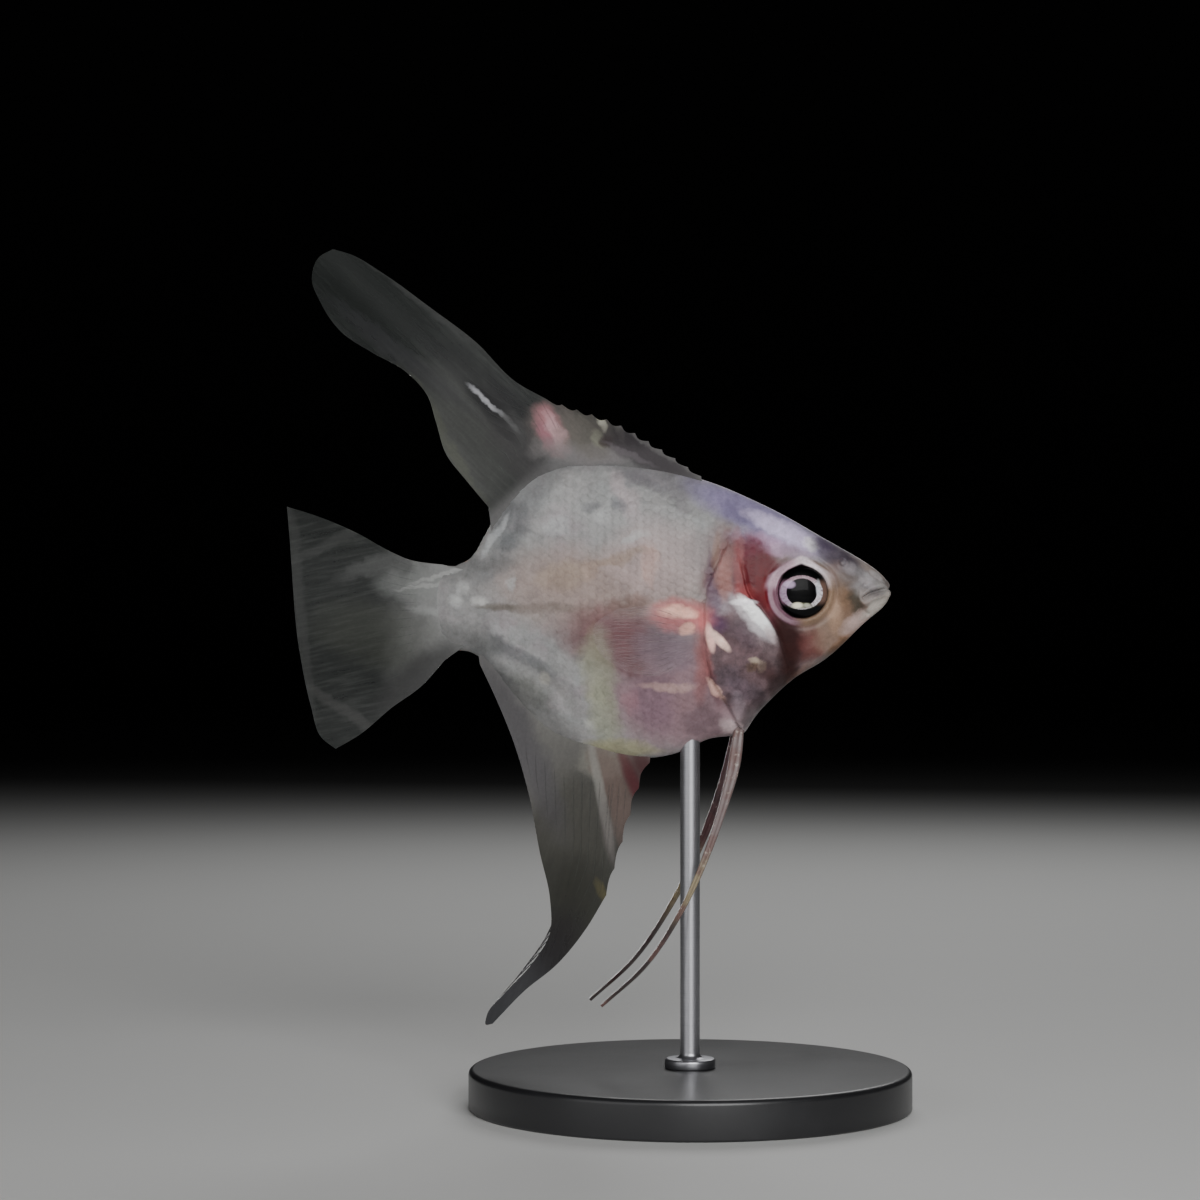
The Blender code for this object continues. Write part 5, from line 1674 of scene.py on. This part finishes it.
class ANGELFISH_OT_eyes(bpy.types.Operator):
    """Make both eyeballs with raised pupils and silver irises"""
    bl_idname = "angelfish.eyes"
    bl_label = "Eyes"

    def execute(self, context):
        shared = eye_finish()
        for side, word in SIDES:
            make_eye(side, word, shared)
        return {"FINISHED"}


class ANGELFISH_OT_upright_fins(bpy.types.Operator):
    """Make the dorsal, anal and tail fins: membranes, spines and branching rays"""
    bl_idname = "angelfish.upright_fins"
    bl_label = "Dorsal, anal and tail fins"

    def execute(self, context):
        make_keeled_fin(
            "dorsal_fin", BACK_LINE, DORSAL_ROOT, DORSAL_SPINY_ROOT, DORSAL_SPINES,
            DORSAL_SPINY_EDGE, DORSAL_LEADING_EDGE, DORSAL_TRAILING_EDGE, above_back,
            swayed(*DORSAL_SWAY, above_back, lambda s, h: s - h),
            fin_finish("smoky_dorsal_membrane", "dorsal_fin", False),
            fin_finish("smoky_dorsal_rays", "dorsal_fin", True), 11)
        make_keeled_fin(
            "anal_fin", BELLY_LINE, ANAL_ROOT, ANAL_SPINY_ROOT, ANAL_SPINES,
            ANAL_SPINY_EDGE, ANAL_LEADING_EDGE, ANAL_TRAILING_EDGE, below_belly,
            swayed(*ANAL_SWAY, below_belly, lambda s, h: s + h / 3),
            fin_finish("smoky_anal_membrane", "anal_fin", False),
            fin_finish("smoky_anal_rays", "anal_fin", True), 14)
        make_caudal(swayed(*CAUDAL_SWAY, behind_tail_root, lambda s, h: h),
                    fin_finish("smoky_tail_membrane", "caudal_fin", False),
                    fin_finish("smoky_tail_rays", "caudal_fin", True))
        return {"FINISHED"}


class ANGELFISH_OT_pectoral_fins(bpy.types.Operator):
    """Make the two clear pectoral fins"""
    bl_idname = "angelfish.pectoral_fins"
    bl_label = "Pectoral fins"

    def execute(self, context):
        membrane = clear_fin_finish()
        rays = pectoral_ray_finish()
        for side, word in SIDES:
            make_pectoral(side, word, membrane, rays)
        return {"FINISHED"}


class ANGELFISH_OT_feelers(bpy.types.Operator):
    """Make the two long pelvic feelers"""
    bl_idname = "angelfish.feelers"
    bl_label = "Feelers"

    def execute(self, context):
        near = feeler_finish("pale_feeler_right", context.scene.angelfish_fins.feeler,
                             linear(104, 78, 74))
        # The far feeler takes the near one's look in darker colours: painted shade
        far = feeler_finish("shaded_feeler_left", linear(70, 42, 44), linear(42, 22, 24))
        make_feeler(RIGHT, "right", near)
        make_feeler(LEFT, "left", far)
        return {"FINISHED"}


class ANGELFISH_OT_stand(bpy.types.Operator):
    """Make the turned base and the brushed rod"""
    bl_idname = "angelfish.stand"
    bl_label = "Stand"

    def execute(self, context):
        make_stand()
        return {"FINISHED"}


class ANGELFISH_OT_stage(bpy.types.Operator):
    """Set the floor, the soft lights and the camera"""
    bl_idname = "angelfish.stage"
    bl_label = "Stage"

    def execute(self, context):
        make_floor()
        make_lights()
        make_camera()
        return {"FINISHED"}


STEPS = ("stage", "skin", "scales", "eyes", "upright_fins", "pectoral_fins", "feelers", "stand")


class ANGELFISH_PT_panel(bpy.types.Panel):
    """The pieces of the angelfish model and their settings"""
    bl_label = "Angelfish"
    bl_idname = "ANGELFISH_PT_panel"
    bl_space_type = "VIEW_3D"
    bl_region_type = "UI"
    bl_category = "Angelfish"

    def draw(self, context):
        for step in STEPS:
            self.layout.operator(f"angelfish.{step}")
        for group in SETTINGS:
            box = self.layout.box()
            settings = getattr(context.scene, group)
            for name in settings.bl_rna.properties.keys():
                if name not in {"rna_type", "name"}:
                    box.prop(settings, name)


SETTINGS = {
    "angelfish_skin": AngelfishSkinSettings,
    "angelfish_eyes": AngelfishEyeSettings,
    "angelfish_fins": AngelfishFinSettings,
    "angelfish_stand": AngelfishStandSettings,
    "angelfish_stage": AngelfishStageSettings,
}
OPERATORS = (
    ANGELFISH_OT_skin, ANGELFISH_OT_scales, ANGELFISH_OT_eyes, ANGELFISH_OT_upright_fins,
    ANGELFISH_OT_pectoral_fins, ANGELFISH_OT_feelers, ANGELFISH_OT_stand, ANGELFISH_OT_stage,
    ANGELFISH_PT_panel,
)


def register():
    for name, group in SETTINGS.items():
        bpy.utils.register_class(group)
        setattr(bpy.types.Scene, name, PointerProperty(type=group))
    for made in OPERATORS:
        bpy.utils.register_class(made)


def unregister():
    for made in reversed(OPERATORS):
        bpy.utils.unregister_class(made)
    for name, group in reversed(SETTINGS.items()):
        delattr(bpy.types.Scene, name)
        bpy.utils.unregister_class(group)


def main():
    register()
    for step in STEPS:
        getattr(bpy.ops.angelfish, step)()


if __name__ == "__main__":
    main()
